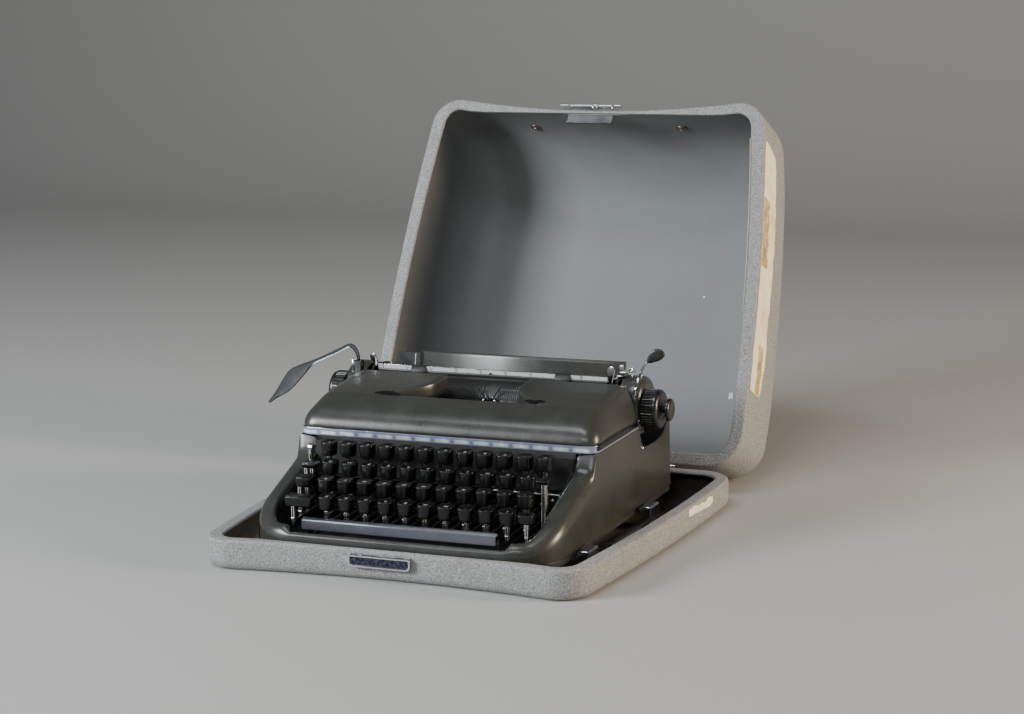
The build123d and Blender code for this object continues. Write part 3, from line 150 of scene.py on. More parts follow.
# smooth lining inside lid and tray
liningTone = {"cool": (0.178, 0.184, 0.186, 1), "worn": (0.222, 0.227, 0.224, 1),
              "stain": (0.12, 0.10, 0.075, 1)}
caseLining = Finish("caseLining", Roughness=0.6)
cloud = caseLining.noise(7.0, 5.0, 0.6)
fine = caseLining.noise(420.0, 2.0, 0.6)
spots = caseLining.cells(22.0)
base = caseLining.blend(caseLining.band(cloud, 0.35, 0.7), liningTone["cool"], liningTone["worn"])
base = caseLining.blend(caseLining.band(fine, 0.4, 0.9, 0.0, 0.25), base, liningTone["worn"])
caseLining.tint(caseLining.band(spots, 0.035, 0.0, 0.0, 0.7), base, liningTone["stain"])
caseLining.roughen(cloud, 0.3, 0.7, 0.5, 0.68)
caseLining.bump(fine, 0.15, 0.0003)

# the tray's lining is browner, and painted dark towards the back as painted shade
trayLining = Finish("trayLining", Roughness=0.75)
grimeAndShadeEdge = trayLining.noise(18.0, 5.0, 0.65)
base = trayLining.blend(trayLining.band(grimeAndShadeEdge, 0.35, 0.7), (0.30, 0.245, 0.18, 1), (0.42, 0.36, 0.27, 1))
# painted shade: the lining is darkened to near black towards the back, its edge broken by the same noise
depth = trayLining.band(trayLining.axis("Y") + grimeAndShadeEdge * 0.06, 0.06, 0.15, 0.0, 0.9)
trayLining.tint(depth, base, (0.018, 0.016, 0.014, 1))
trayLining.bump(trayLining.noise(420.0, 2.0, 0.6), 0.15, 0.0003)

# hammered olive-grey enamel of the machine
bodyTone = {"main": (0.047, 0.049, 0.045, 1), "pale": (0.062, 0.064, 0.058, 1),
            "fleck": (0.23, 0.215, 0.175, 1)}
bodyPaint = Finish("hammeredEnamel", Metallic=0.35, Coat_Weight=0.15, Coat_Roughness=0.13)
fleck = bodyPaint.noise(1500.0, 1.0, 0.5)
wear = bodyPaint.noise(32.0, 4.0, 0.7)
base = bodyPaint.blend(bodyPaint.band(wear, 0.35, 0.7), bodyTone["main"], bodyTone["pale"])
bodyPaint.tint(bodyPaint.band(fleck, 0.6, 0.78, 0.0, 0.6), base, bodyTone["fleck"])
bodyPaint.roughen(wear, 0.3, 0.75, 0.27, 0.38)
bodyPaint.bump(fleck, 0.12, 0.0002)

chrome = Finish("chromePlate", Metallic=1.0, Base_Color=grey(0.72))
chrome.roughen(chrome.noise(60.0, 4.0, 0.6), 0.35, 0.75, 0.06, 0.22)

steel = Finish("cutSteel", Metallic=1.0)
steel.tint(steel.noise(90.0, 4.0, 0.6), grey(0.30), grey(0.55, 0.02))
steel.roughen(steel.noise(300.0, 2.0, 0.5), 0.3, 0.7, 0.24, 0.42)

japanned = Finish("blackJapan", Base_Color=grey(0.016), Coat_Weight=0.3)
japanned.roughen(japanned.noise(120.0, 3.0, 0.6), 0.3, 0.7, 0.34, 0.55)
japanned.bump(japanned.noise(700.0, 1.0, 0.5), 0.08, 0.0002)

keyBlack = Finish("mouldedBlack", Base_Color=grey(0.006), Specular_IOR_Level=0.3, Coat_Weight=0.2,
                  Coat_Roughness=0.1)
keyBlack.roughen(keyBlack.noise(90.0, 3.0, 0.6), 0.3, 0.75, 0.24, 0.34)

stemSteel = Finish("stemSteel", Metallic=1.0)
stemSteel.tint(stemSteel.noise(110.0, 4.0, 0.6), grey(0.45, 0.02), grey(0.85, 0.02))
stemSteel.roughen(stemSteel.noise(300.0, 2.0, 0.5), 0.3, 0.7, 0.18, 0.36)

# the space bar's face is painted with a blue-grey sheen, lighter to the right: a painted reflection
barBlack = Finish("spaceBarBlack", Metallic=0.15, Coat_Weight=0.15, Coat_Roughness=0.12)
paintedSheen = barBlack.band(barBlack.axis("X") + barBlack.noise(24.0, 4.0, 0.7) * 0.12, -0.05, 0.15)
barBlack.tint(paintedSheen, (0.012, 0.014, 0.024, 1), (0.11, 0.115, 0.14, 1))
barBlack.roughen(barBlack.noise(150.0, 4.0, 0.7), 0.3, 0.75, 0.26, 0.44)

darkKnob = Finish("darkKnobs", Coat_Weight=0.3, Coat_Roughness=0.15)
dust = darkKnob.noise(260.0, 4.0, 0.6)
darkKnob.tint(darkKnob.band(dust, 0.5, 0.8, 0.0, 0.5), grey(0.008, 0.1), grey(0.03, 0.12))
darkKnob.roughen(dust, 0.3, 0.75, 0.26, 0.45)

rollRubber = Finish("rollRubber")
bloom = rollRubber.noise(40.0, 4.0, 0.6)
rollRubber.tint(bloom, grey(0.012), grey(0.030, 0.02))
rollRubber.roughen(bloom, 0.3, 0.7, 0.42, 0.62)

inkCloth = Finish("inkedCloth", Base_Color=grey(0.008), Roughness=0.85, Specular_IOR_Level=0.1)
inkCloth.bump(inkCloth.noise(2500.0, 1.0, 0.5), 0.3, 0.0002)

oldTape = Finish("agedTape", Roughness=0.7)
age = oldTape.noise(28.0, 5.0, 0.7)
oldTape.tint(oldTape.band(age, 0.48, 0.74), (0.95, 0.88, 0.64, 1), (0.66, 0.50, 0.20, 1))
oldTape.bump(oldTape.noise(160.0, 4.0, 0.7, (1.0, 0.25, 1.0)), 0.35, 0.0004)

# bright trim with painted reflections: pale dashes at the pitch of the keys painted on the front, and the
# sides painted dark above a bright lower edge
bandChrome = Finish("bandChrome", Metallic=0.6)
across = bandChrome.node("ShaderNodeMath", {"operation": "PINGPONG"},
                         {0: bandChrome.axis("X") + 1.0015, 1: 0.009525})
# painted highlights: pale dashes repeating at the key pitch, within a narrow height
paintedGlints = bandChrome.band(across + bandChrome.noise(30.0, 2.0, 0.5) * 0.002, 0.0020, 0.0046)
level = bandChrome.axis("Z")
glintHeights = bandChrome.band(level, 0.0962, 0.0968) * bandChrome.band(level, 0.0998, 0.0992)
front = bandChrome.blend(paintedGlints * glintHeights, (0.34, 0.39, 0.54, 1), (0.98, 0.99, 1.0, 1))
# painted dark reflection along the sides of the band, above its bright lower edge
wide = bandChrome.axis("X") * bandChrome.axis("X")
sides = bandChrome.band(wide, 0.0207, 0.0209) * bandChrome.band(level, 0.0963, 0.0970)
bandChrome.tint(sides, front, (0.016, 0.018, 0.026, 1))
bandChrome.roughen(bandChrome.noise(60.0, 4.0, 0.6), 0.35, 0.75, 0.1, 0.24)

scaleWhite = Finish("scaleWhite", Coat_Weight=0.3)
scaleWhite.tint(scaleWhite.noise(50.0, 4.0, 0.6), grey(0.50, 0.01), grey(0.72, 0.02))
scaleWhite.roughen(scaleWhite.noise(120.0, 3.0, 0.6), 0.3, 0.7, 0.3, 0.5)

# painted reflection: the return lever's chrome is given a dark blue-grey colour standing in for the dark
# surroundings it reflects
leverSteel = Finish("darkReflectingChrome", Metallic=1.0)
leverSteel.tint(leverSteel.noise(40.0, 4.0, 0.6), grey(0.06, -0.08), grey(0.20, -0.05))
leverSteel.roughen(leverSteel.noise(90.0, 3.0, 0.6), 0.3, 0.7, 0.08, 0.2)

# mottled dark field of the latch, tarnished rivets, skirt and clips
mottled = Finish("mottledPlate", Metallic=0.85)
cloudy = mottled.noise(380.0, 5.0, 0.75)
mottled.tint(mottled.band(cloudy, 0.42, 0.66), (0.010, 0.011, 0.024, 1), (0.13, 0.14, 0.20, 1))
mottled.roughen(cloudy, 0.3, 0.7, 0.25, 0.5)

rustyRivet = Finish("rustyRivet", Metallic=0.8)
rust = rustyRivet.noise(240.0, 4.0, 0.6)
rustyRivet.tint(rustyRivet.band(rust, 0.4, 0.65), (0.14, 0.055, 0.035, 1), (0.36, 0.33, 0.30, 1))
rustyRivet.roughen(rust, 0.3, 0.7, 0.3, 0.6)

skirtSteel = Finish("skirtSteel", Metallic=0.75)
dull = skirtSteel.noise(60.0, 4.0, 0.6)
skirtSteel.tint(dull, (0.09, 0.092, 0.10, 1), (0.20, 0.20, 0.21, 1))
skirtSteel.roughen(dull, 0.3, 0.7, 0.3, 0.5)

brightSteel = Finish("brightSteel", Metallic=1.0)
buff = brightSteel.noise(130.0, 4.0, 0.6, (1.0, 0.2, 1.0))
brightSteel.tint(buff, (0.26, 0.28, 0.36, 1), (0.55, 0.57, 0.66, 1))
brightSteel.roughen(buff, 0.3, 0.7, 0.12, 0.3)

caseBead = Finish("caseBead", Roughness=0.5)
caseBead.tint(caseBead.noise(90.0, 3.0, 0.6), (0.30, 0.26, 0.21, 1), (0.52, 0.48, 0.42, 1))

gluedTape = Finish("gluedTape", Roughness=0.6)
gum = gluedTape.noise(70.0, 5.0, 0.7)
gluedTape.tint(gluedTape.band(gum, 0.35, 0.62), (0.68, 0.55, 0.30, 1), (0.36, 0.24, 0.10, 1))
gluedTape.bump(gluedTape.noise(220.0, 4.0, 0.7), 0.4, 0.0004)

brassFinish = Finish("brass", Metallic=1.0, Base_Color=(0.55, 0.38, 0.13, 1))
brassFinish.roughen(brassFinish.noise(200.0, 2.0, 0.5), 0.3, 0.7, 0.25, 0.45)
print("finishes made")

cadFinishes = {
    "case_lacquer": caseOutside, "body_paint": bodyPaint, "chrome": chrome, "steel": steel,
    "black_steel": japanned, "key_plastic": keyBlack, "dark_plastic": darkKnob, "rubber": rollRubber,
    "paper_tape": oldTape, "ribbon_cloth": inkCloth, "brass": brassFinish,
}
slotOf = {part["node"]: part["material_slot"] for part in frame["record"]["subparts"]}
for name, node in nodes.items():
    node.data.materials.clear()
    node.data.materials.append(cadFinishes[slotOf[name]].material)


def finishMesh(name, points, faces, finishes, faceFinish, sharp):
    # points in millimetres; doubles merged, faces turned outwards, edges sharper than the angle kept sharp
    mesh = bpy.data.meshes.new(name)
    mesh.from_pydata([tuple(c * 0.001 for c in p) for p in points], [], faces)
    for finish in finishes:
        mesh.materials.append(finish.material)
    if faceFinish:
        mesh.polygons.foreach_set("material_index", faceFinish)
    tidy = bmesh.new()
    tidy.from_mesh(mesh)
    bmesh.ops.remove_doubles(tidy, verts=tidy.verts, dist=1e-6)
    bmesh.ops.dissolve_degenerate(tidy, dist=1e-7, edges=tidy.edges)
    bmesh.ops.recalc_face_normals(tidy, faces=tidy.faces)
    tidy.to_mesh(mesh)
    tidy.free()
    mesh.polygons.foreach_set("use_smooth", [True] * len(mesh.polygons))
    mesh.set_sharp_from_angle(angle=math.radians(sharp))
    return mesh


def makePiece(name, points, faces, finishes, body, replaces=(), faceFinish=None, sharp=40):
    # the finished piece sits untransformed at the origin
    piece = bpy.data.objects.new(name, finishMesh(name, points, faces, finishes, faceFinish, sharp))
    bpy.context.scene.collection.objects.link(piece)
    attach(piece, body)
    if replaces:
        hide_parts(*replaces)
    return piece


def loftFaces(rings, closed, count):
    # quads between successive rings of the same count
    faces = []
    spans = count if closed else count - 1
    for r in range(rings - 1):
        for i in range(spans):
            j = (i + 1) % count
            faces.append((r * count + i, r * count + j, (r + 1) * count + j, (r + 1) * count + i))
    return faces


def arcThrough(start, middle, end, count):
    # points of the circle through three points, from start to end
    (x1, y1), (x2, y2), (x3, y3) = start, middle, end
    d = 2 * (x1 * (y2 - y3) + x2 * (y3 - y1) + x3 * (y1 - y2))
    cx = ((x1**2 + y1**2) * (y2 - y3) + (x2**2 + y2**2) * (y3 - y1) + (x3**2 + y3**2) * (y1 - y2)) / d
    cy = ((x1**2 + y1**2) * (x3 - x2) + (x2**2 + y2**2) * (x1 - x3) + (x3**2 + y3**2) * (x2 - x1)) / d
    radius = math.hypot(x1 - cx, y1 - cy)
    first = math.atan2(y1 - cy, x1 - cx)
    turn = math.atan2(y3 - cy, x3 - cx) - first
    turn = (turn + math.pi) % (2 * math.pi) - math.pi
    return [
        (cx + radius * math.cos(first + turn * i / count), cy + radius * math.sin(first + turn * i / count))
        for i in range(count + 1)
    ]


def cornerCurve(before, corner, after, radius, count):
    # smooth corner that leaves one side and meets the next; before and after are far points on them
    inward = [(corner[0] - before[0]), (corner[1] - before[1])]
    outward = [(after[0] - corner[0]), (after[1] - corner[1])]
    a = Vector(inward).normalized()
    b = Vector(outward).normalized()
    turn = abs(a.angle(b))
    reach = radius * math.tan(turn / 2)
    p0 = Vector(corner) - a * reach
    p3 = Vector(corner) + b * reach
    handle = radius * 4 / 3 * math.tan(turn / 4)
    p1 = p0 + a * handle
    p2 = p3 - b * handle
    curve = []
    for i in range(count + 1):
        t = i / count
        s = 1 - t
        curve.append(tuple(p0 * s**3 + p1 * 3 * s * s * t + p2 * 3 * s * t * t + p3 * t**3))
    return curve, reach


def trimmed(points, startCut, endCut):
    # the stretch of a polyline left after cutting lengths off both ends, with the same number of points
    lengths = [0.0]
    for p, q in zip(points, points[1:]):
        lengths.append(lengths[-1] + math.dist(p, q))
    low, high = startCut, lengths[-1] - endCut
    out = []
    k = 0
    for i in range(len(points)):
        want = low + (high - low) * i / (len(points) - 1)
        while k < len(points) - 2 and lengths[k + 1] < want:
            k += 1
        span = lengths[k + 1] - lengths[k]
        t = (want - lengths[k]) / span if span else 0.0
        out.append(tuple(a + (b - a) * t for a, b in zip(points[k], points[k + 1])))
    return out


# plan of the carrying case
case = {
    "frontHalf": 178.4, "backHalf": 199.1, "front": -188.6, "back": 188.7, "bulge": 6.4, "dip": 14.5,
    "frontRadius": 29.0, "backRadius": 36.0, "wall": 2.5, "flange": 13.0, "flangeThick": 3.0,
    "trayDeep": 27.5, "trayEdge": 8.0, "lidDeep": 130.0, "crownFront": 83.0, "crownSide": 55.0,
    "coreFront": -98.0, "frontRoom": -170.9, "hingeY": 190.9, "hingeZ": 27.75, "openTurn": 115.0,
    "rimZ": 28.0,
}


def caseRing(inset):
    # plan outline of the case, moved in by inset, always with the same number of points
    c = case
    fh, bh = c["frontHalf"] - inset, c["backHalf"] - inset
    mh = (c["frontHalf"] + c["backHalf"]) / 2 + c["bulge"] - inset
    f, b, my = c["front"] + inset, c["back"] - inset, (c["front"] + c["back"]) / 2
    front = arcThrough((-fh, f), (0, f + c["dip"]), (fh, f), 26)
    right = arcThrough((fh, f), (mh, my), (bh, b), 26)
    back = [(bh - 2 * bh * i / 26, b) for i in range(27)]
    left = arcThrough((-bh, b), (-mh, my), (-fh, f), 26)
    sides = [front, right, back, left]
    radii = [max(c["frontRadius"] - inset, 3.0), max(c["backRadius"] - inset, 3.0)]
    corners = []
    for k in range(4):
        first, second = sides[k], sides[(k + 1) % 4]
        radius = radii[0] if k in (0, 3) else radii[1]
        corners.append(cornerCurve(first[-4], first[-1], second[3], radius, 14))
    ring = []
    for k in range(4):
        ring += trimmed(sides[k], corners[k - 1][1], corners[k][1])[:-1]
        ring += corners[k][0][:-1]
    return ring


def caseHalf(y):
    c = case
    share = (y - c["front"]) / (c["back"] - c["front"])
    return c["frontHalf"] + (c["backHalf"] - c["frontHalf"]) * share + 4 * c["bulge"] * share * (1 - share)


def crownRings(ring, inset, top, steps):
    # from the wall up over the rounded crown to the flat top; rings of (x, y, height)
    c = case
    rs, rf = c["crownSide"] - inset, c["crownFront"] - inset
    coreX = caseHalf(c["coreFront"]) - inset - rs
    coreFront = c["front"] + inset + rf + c["dip"] * (1 - (coreX / c["frontHalf"]) ** 2)
    coreBack = c["back"] - inset - rf
    out = []
    data = []
    for x, y in ring:
        half = caseHalf(max(coreFront, min(coreBack, y))) - inset
        qx = max(-(half - rs), min(half - rs, x))
        frontY = c["front"] + inset + c["dip"] * max(0.0, 1 - (qx / c["frontHalf"]) ** 2)
        qy = max(frontY + rf, min(coreBack, y))
        wx, wy = abs(x - qx) / rs, abs(y - qy) / rf
        share = wy * wy / (wx * wx + wy * wy) if wx + wy > 1e-9 else 0.0
        data.append((x, y, qx, qy, rs + (rf - rs) * share))
    for k in range(steps + 1):
        turn = math.pi / 2 * k / steps
        out.append([
            (qx + (x - qx) * math.cos(turn), qy + (y - qy) * math.cos(turn), top - rz + rz * math.sin(turn))
            for x, y, qx, qy, rz in data
        ])
    for share in (0.75, 0.45, 0.15, 0.0):
        out.append([(qx * share, qy * share + 6 * (1 - share), top) for x, y, qx, qy, rz in data])
    return out


def flangeRing(inset):
    # the front stretch of the flange stays clear of the machine
    room = case["frontRoom"]
    return [(x, min(y, room) if y < 0 and abs(x) < 160 else y) for x, y in caseRing(inset)]


def flatRing(ring, height):
    return [(x, y, height) for x, y in ring]


def rimRings(edge, out):
    # outer lip, rim face and flange, seen from the open side; out turns the height's sign
    c = case
    rings = []
    for k in range(5):
        turn = math.pi / 2 * k / 4
        r = 2.4
        rings.append(flatRing(caseRing(r - r * math.cos(turn)), edge - out * (r - r * math.sin(turn))))
    rings.append(flatRing(flangeRing(c["flange"] - 1.2), edge))
    rings.append(flatRing(flangeRing(c["flange"]), edge - out * 1.2))
    rings.append(flatRing(flangeRing(c["flange"]), edge - out * (c["flangeThick"] - 0.8)))
    rings.append(flatRing(flangeRing(c["flange"] - 0.8), edge - out * c["flangeThick"]))
    return rings


def toLid(point):
    # a point of the closed lid, turned back about the hinge
    turn = math.radians(-case["openTurn"])
    x, y, h = point
    dy, dz = y - case["hingeY"], h + case["rimZ"] - case["hingeZ"]
    return (
        x,
        case["hingeY"] + dy * math.cos(turn) - dz * math.sin(turn),
        case["hingeZ"] + dy * math.sin(turn) + dz * math.cos(turn),
    )


def buildLid():
    c = case
    outer = crownRings(caseRing(0), 0, c["lidDeep"], 14)
    inner = crownRings(caseRing(c["wall"]), c["wall"], c["lidDeep"] - c["wall"], 14)
    rings = list(reversed(outer))
    rings += rimRings(0.0, -1)
    rings.append(flatRing(caseRing(c["wall"] + 1.5), c["flangeThick"]))
    rings.append(flatRing(caseRing(c["wall"]), c["flangeThick"] + 1.5))
    lined = len(rings) - 1
    rings += inner
    count = len(rings[0])
    points = [toLid(p) for ring in rings for p in ring]
    faces = loftFaces(len(rings), True, count)
    kinds = [1 if i // count >= lined else 0 for i in range(len(faces))]
    makePiece("lidShell", points, faces, [caseOutside, caseLining], "lid", ("case_lid",),
              kinds)


def buildTray():
    c = case
    low = []
    for share in (0.0, 0.4, 0.8):
        low.append([(x * share, y * share, 0.0) for x, y in caseRing(c["trayEdge"])])
    for k in range(6):
        turn = math.pi / 2 * k / 5
        r = c["trayEdge"]
        low.append(flatRing(caseRing(r - r * math.sin(turn)), r - r * math.cos(turn)))
    low += rimRings(c["trayDeep"], 1)
    r = c["trayEdge"] - c["wall"]
    low.append(flatRing(caseRing(c["wall"]), c["trayDeep"] - c["flangeThick"]))
    lined = len(low) - 1
    for k in range(5):
        turn = math.pi / 2 * k / 4
        low.append(flatRing(caseRing(c["wall"] + r - r * math.cos(turn)), c["wall"] + r - r * math.sin(turn)))
    for share in (0.8, 0.4, 0.0):
        low.append([(x * share, y * share, c["wall"]) for x, y in caseRing(c["trayEdge"])])
    count = len(low[0])
    faces = loftFaces(len(low), True, count)
    kinds = [1 if i // count >= lined else 0 for i in range(len(faces))]
    makePiece("trayShell", [p for ring in low for p in ring], faces, [caseOutside, trayLining], "machine",
              ("case_tray",), kinds)


buildLid()
buildTray()
print("case built")


# a growing mesh, in millimetres
class Shape:
    def __init__(self):
        self.points = []
        self.faces = []
        self.kinds = []

    def add(self, points, faces, kind=0):
        start = len(self.points)
        self.points += points
        self.faces += [tuple(start + i for i in face) for face in faces]
        self.kinds += [kind] * len(faces)
        return self

    def rings(self, rings, kind=0, capped=True):
        count = len(rings[0])
        faces = loftFaces(len(rings), True, count)
        if capped:
            last = (len(rings) - 1) * count
            faces += [tuple(reversed(range(count))), tuple(range(last, last + count))]
        return self.add([p for ring in rings for p in ring], faces, kind)

    def prism(self, outline, axis, low, high, edge=0.2, kind=0):
        # a flat plate cut to the outline, its edges lightly broken; axis names the direction of its thickness
        def place(u, v, w):
            return {"x": (w, u, v), "y": (u, w, v), "z": (u, v, w)}[axis]
        rings = []
        inner = inset2d(outline, edge)
        for pts, w in ((inner, low), (outline, low + edge), (outline, high - edge), (inner, high)):
            rings.append([place(u, v, w) for u, v in pts])
        return self.rings(rings, kind)

    def box(self, low, high, edge=0.2, kind=0):
        outline = [(low[0], low[1]), (high[0], low[1]), (high[0], high[1]), (low[0], high[1])]
        return self.prism(outline, "z", low[2], high[2], edge, kind)

    def lathe(self, profile, centre, sides=32, kind=0, rib=None):
        # profile holds (x, radius) pairs from one end to the other, turned about the X direction
        rings = []
        for x, radius in profile:
            ring = []
            for k in range(sides):
                turn = 2 * math.pi * k / sides
                r = radius - (rib(x, k) if rib else 0.0)
                ring.append((x, centre[0] + r * math.cos(turn), centre[1] + r * math.sin(turn)))
            rings.append(ring)
        return self.rings(rings, kind)

    def tube(self, path, radius, sides=10, kind=0, flat=1.0):
        # a round or flattened bar along a path; the frame is carried along so it doesn't twist
        path = [Vector(p) for p in path]
        radii = radius if isinstance(radius, list) else [radius] * len(path)
        rings = []
        across = None
        for i, p in enumerate(path):
            ahead = (path[min(i + 1, len(path) - 1)] - path[max(i - 1, 0)]).normalized()
            if across is None:
                guess = Vector((0, 1, 0)) if abs(ahead.y) < 0.8 else Vector((0, 0, 1))
                across = (guess - ahead * guess.dot(ahead)).normalized()
            else:
                across = (across - ahead * across.dot(ahead)).normalized()
            other = ahead.cross(across)
            rings.append([
                tuple(p + across * (radii[i] * flat * math.cos(2 * math.pi * k / sides))
                      + other * (radii[i] * math.sin(2 * math.pi * k / sides)))
                for k in range(sides)
            ])
        return self.rings(rings, kind)

    def piece(self, name, finishes, body, slot=None, replaces=(), sharp=35):
        return makePiece(name, self.points, self.faces, finishes, body, replaces, self.kinds, sharp)


def inset2d(outline, amount):
    # each corner moved inwards along its bisector; works for either direction round
    count = len(outline)
    area = sum(outline[i][0] * outline[(i + 1) % count][1] - outline[(i + 1) % count][0] * outline[i][1]
               for i in range(count))
    sign = 1 if area > 0 else -1
    moved = []
    for i in range(count):
        p, q, r = (Vector(outline[(i + k) % count]) for k in (-1, 0, 1))
        a, b = (q - p).normalized(), (r - q).normalized()
        na, nb = Vector((-a.y, a.x)) * sign, Vector((-b.y, b.x)) * sign
        n = na + nb
        length = n.length
        n = n / length if length > 1e-6 else na
        reach = amount / max(0.5, n.dot(na))
        moved.append((q.x + n.x * reach, q.y + n.y * reach))
    return moved


def roundedBox2d(cx, cy, halfX, halfY, radius, steps=4):
    # outline of a rounded rectangle
    out = []
    for sx, sy, start in ((1, 1, 0), (-1, 1, 90), (-1, -1, 180), (1, -1, 270)):
        for k in range(steps + 1):
            turn = math.radians(start + 90 * k / steps)
            out.append((cx + sx * (halfX - radius) + radius * math.cos(turn),
                        cy + sy * (halfY - radius) + radius * math.sin(turn)))
    return out


def spread(name, template, runs, body, finish, replaces=()):
    # Geometry Nodes copy a template along straight runs of places; the result is one plain mesh
    holder = bpy.data.objects.new(name + "Runs", bpy.data.meshes.new(name + "Runs"))
    bpy.context.scene.collection.objects.link(holder)
    tree = bpy.data.node_groups.new(name + "Tree", "GeometryNodeTree")
    tree.interface.new_socket("Geometry", in_out="OUTPUT", socket_type="NodeSocketGeometry")
    for k in range(len(runs)):
        tree.interface.new_socket("First %d" % k, in_out="INPUT", socket_type="NodeSocketVector")
        tree.interface.new_socket("Step %d" % k, in_out="INPUT", socket_type="NodeSocketVector")
        tree.interface.new_socket("Count %d" % k, in_out="INPUT", socket_type="NodeSocketInt")
    given = tree.nodes.new("NodeGroupInput")
    result = tree.nodes.new("NodeGroupOutput")
    joined = tree.nodes.new("GeometryNodeJoinGeometry")
    copies = tree.nodes.new("GeometryNodeInstanceOnPoints")
    source = tree.nodes.new("GeometryNodeObjectInfo")
    source.inputs["Object"].default_value = template
    real = tree.nodes.new("GeometryNodeRealizeInstances")
    paint = tree.nodes.new("GeometryNodeSetMaterial")
    paint.inputs["Material"].default_value = finish.material
    for k in range(len(runs)):
        line = tree.nodes.new("GeometryNodeMeshLine")
        line.mode = "OFFSET"
        tree.links.new(given.outputs["First %d" % k], line.inputs["Start Location"])
        tree.links.new(given.outputs["Step %d" % k], line.inputs["Offset"])
        tree.links.new(given.outputs["Count %d" % k], line.inputs["Count"])
        tree.links.new(line.outputs["Mesh"], joined.inputs["Geometry"])
    tree.links.new(joined.outputs["Geometry"], copies.inputs["Points"])
    tree.links.new(source.outputs["Geometry"], copies.inputs["Instance"])
    tree.links.new(copies.outputs["Instances"], real.inputs["Geometry"])
    tree.links.new(real.outputs["Geometry"], paint.inputs["Geometry"])
    tree.links.new(paint.outputs["Geometry"], result.inputs["Geometry"])
    live = holder.modifiers.new("runs", "NODES")
    live.node_group = tree
    keyOf = {item.name: item.identifier for item in tree.interface.items_tree if item.in_out == "INPUT"}
    for k, (first, step, count) in enumerate(runs):
        live[keyOf["First %d" % k]] = [v * 0.001 for v in first]
        live[keyOf["Step %d" % k]] = [v * 0.001 for v in step]
        live[keyOf["Count %d" % k]] = count
    bpy.context.view_layer.update()
    graph = bpy.context.evaluated_depsgraph_get()
    mesh = bpy.data.meshes.new_from_object(holder.evaluated_get(graph))
    mesh.name = name
    piece = bpy.data.objects.new(name, mesh)
    bpy.context.scene.collection.objects.link(piece)
    bpy.data.objects.remove(holder)
    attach(piece, body)
    if replaces:
        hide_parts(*replaces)
    return piece


def makeTemplate(shape, sharp=35):
    # a loose mesh to be copied; taken out again once its copies are made
    mesh = finishMesh("template", shape.points, shape.faces, [], None, sharp)
    template = bpy.data.objects.new("template", mesh)
    bpy.context.scene.collection.objects.link(template)
    return template

# lower body: one closed shell lofted round its plan outline
body = {
    "half": 145.6, "front": -168.0, "back": 157.3, "low": 22.0, "frontRadius": 46.0, "backRadius": 14.0,
    "wall": 2.0, "cowl": -52.5, "slopeTop": 83.0, "slope": 0.403, "sideTop": 95.0,
    "wellHalf": 127.0, "wellFront": -156.0, "wellRadius": 26.0, "lipTop": 34.5, "notch": (-98.0, 105.0),
    "cut": [(57.5, 95.0), (58.6, 94.0), (60.5, 90.0), (64, 82), (68, 76.5), (74, 73.2), (84, 71.6),
            (95, 71.2), (105, 71.0), (116, 71.8), (127, 74.0), (134, 77.8), (139, 82.0), (143, 85.2),
            (148, 87.2), (157.3, 88.0)],
}


def smooth(value, low, high):
    t = max(0.0, min(1.0, (value - low) / (high - low)))
    return t * t * (3 - 2 * t)


def along(table, at):
    # straight-line reading of a table of pairs
    if at <= table[0][0]:
        return table[0][1]
    for (a, va), (b, vb) in zip(table, table[1:]):
        if at <= b:
            return va + (vb - va) * (at - a) / (b - a)
    return table[-1][1]


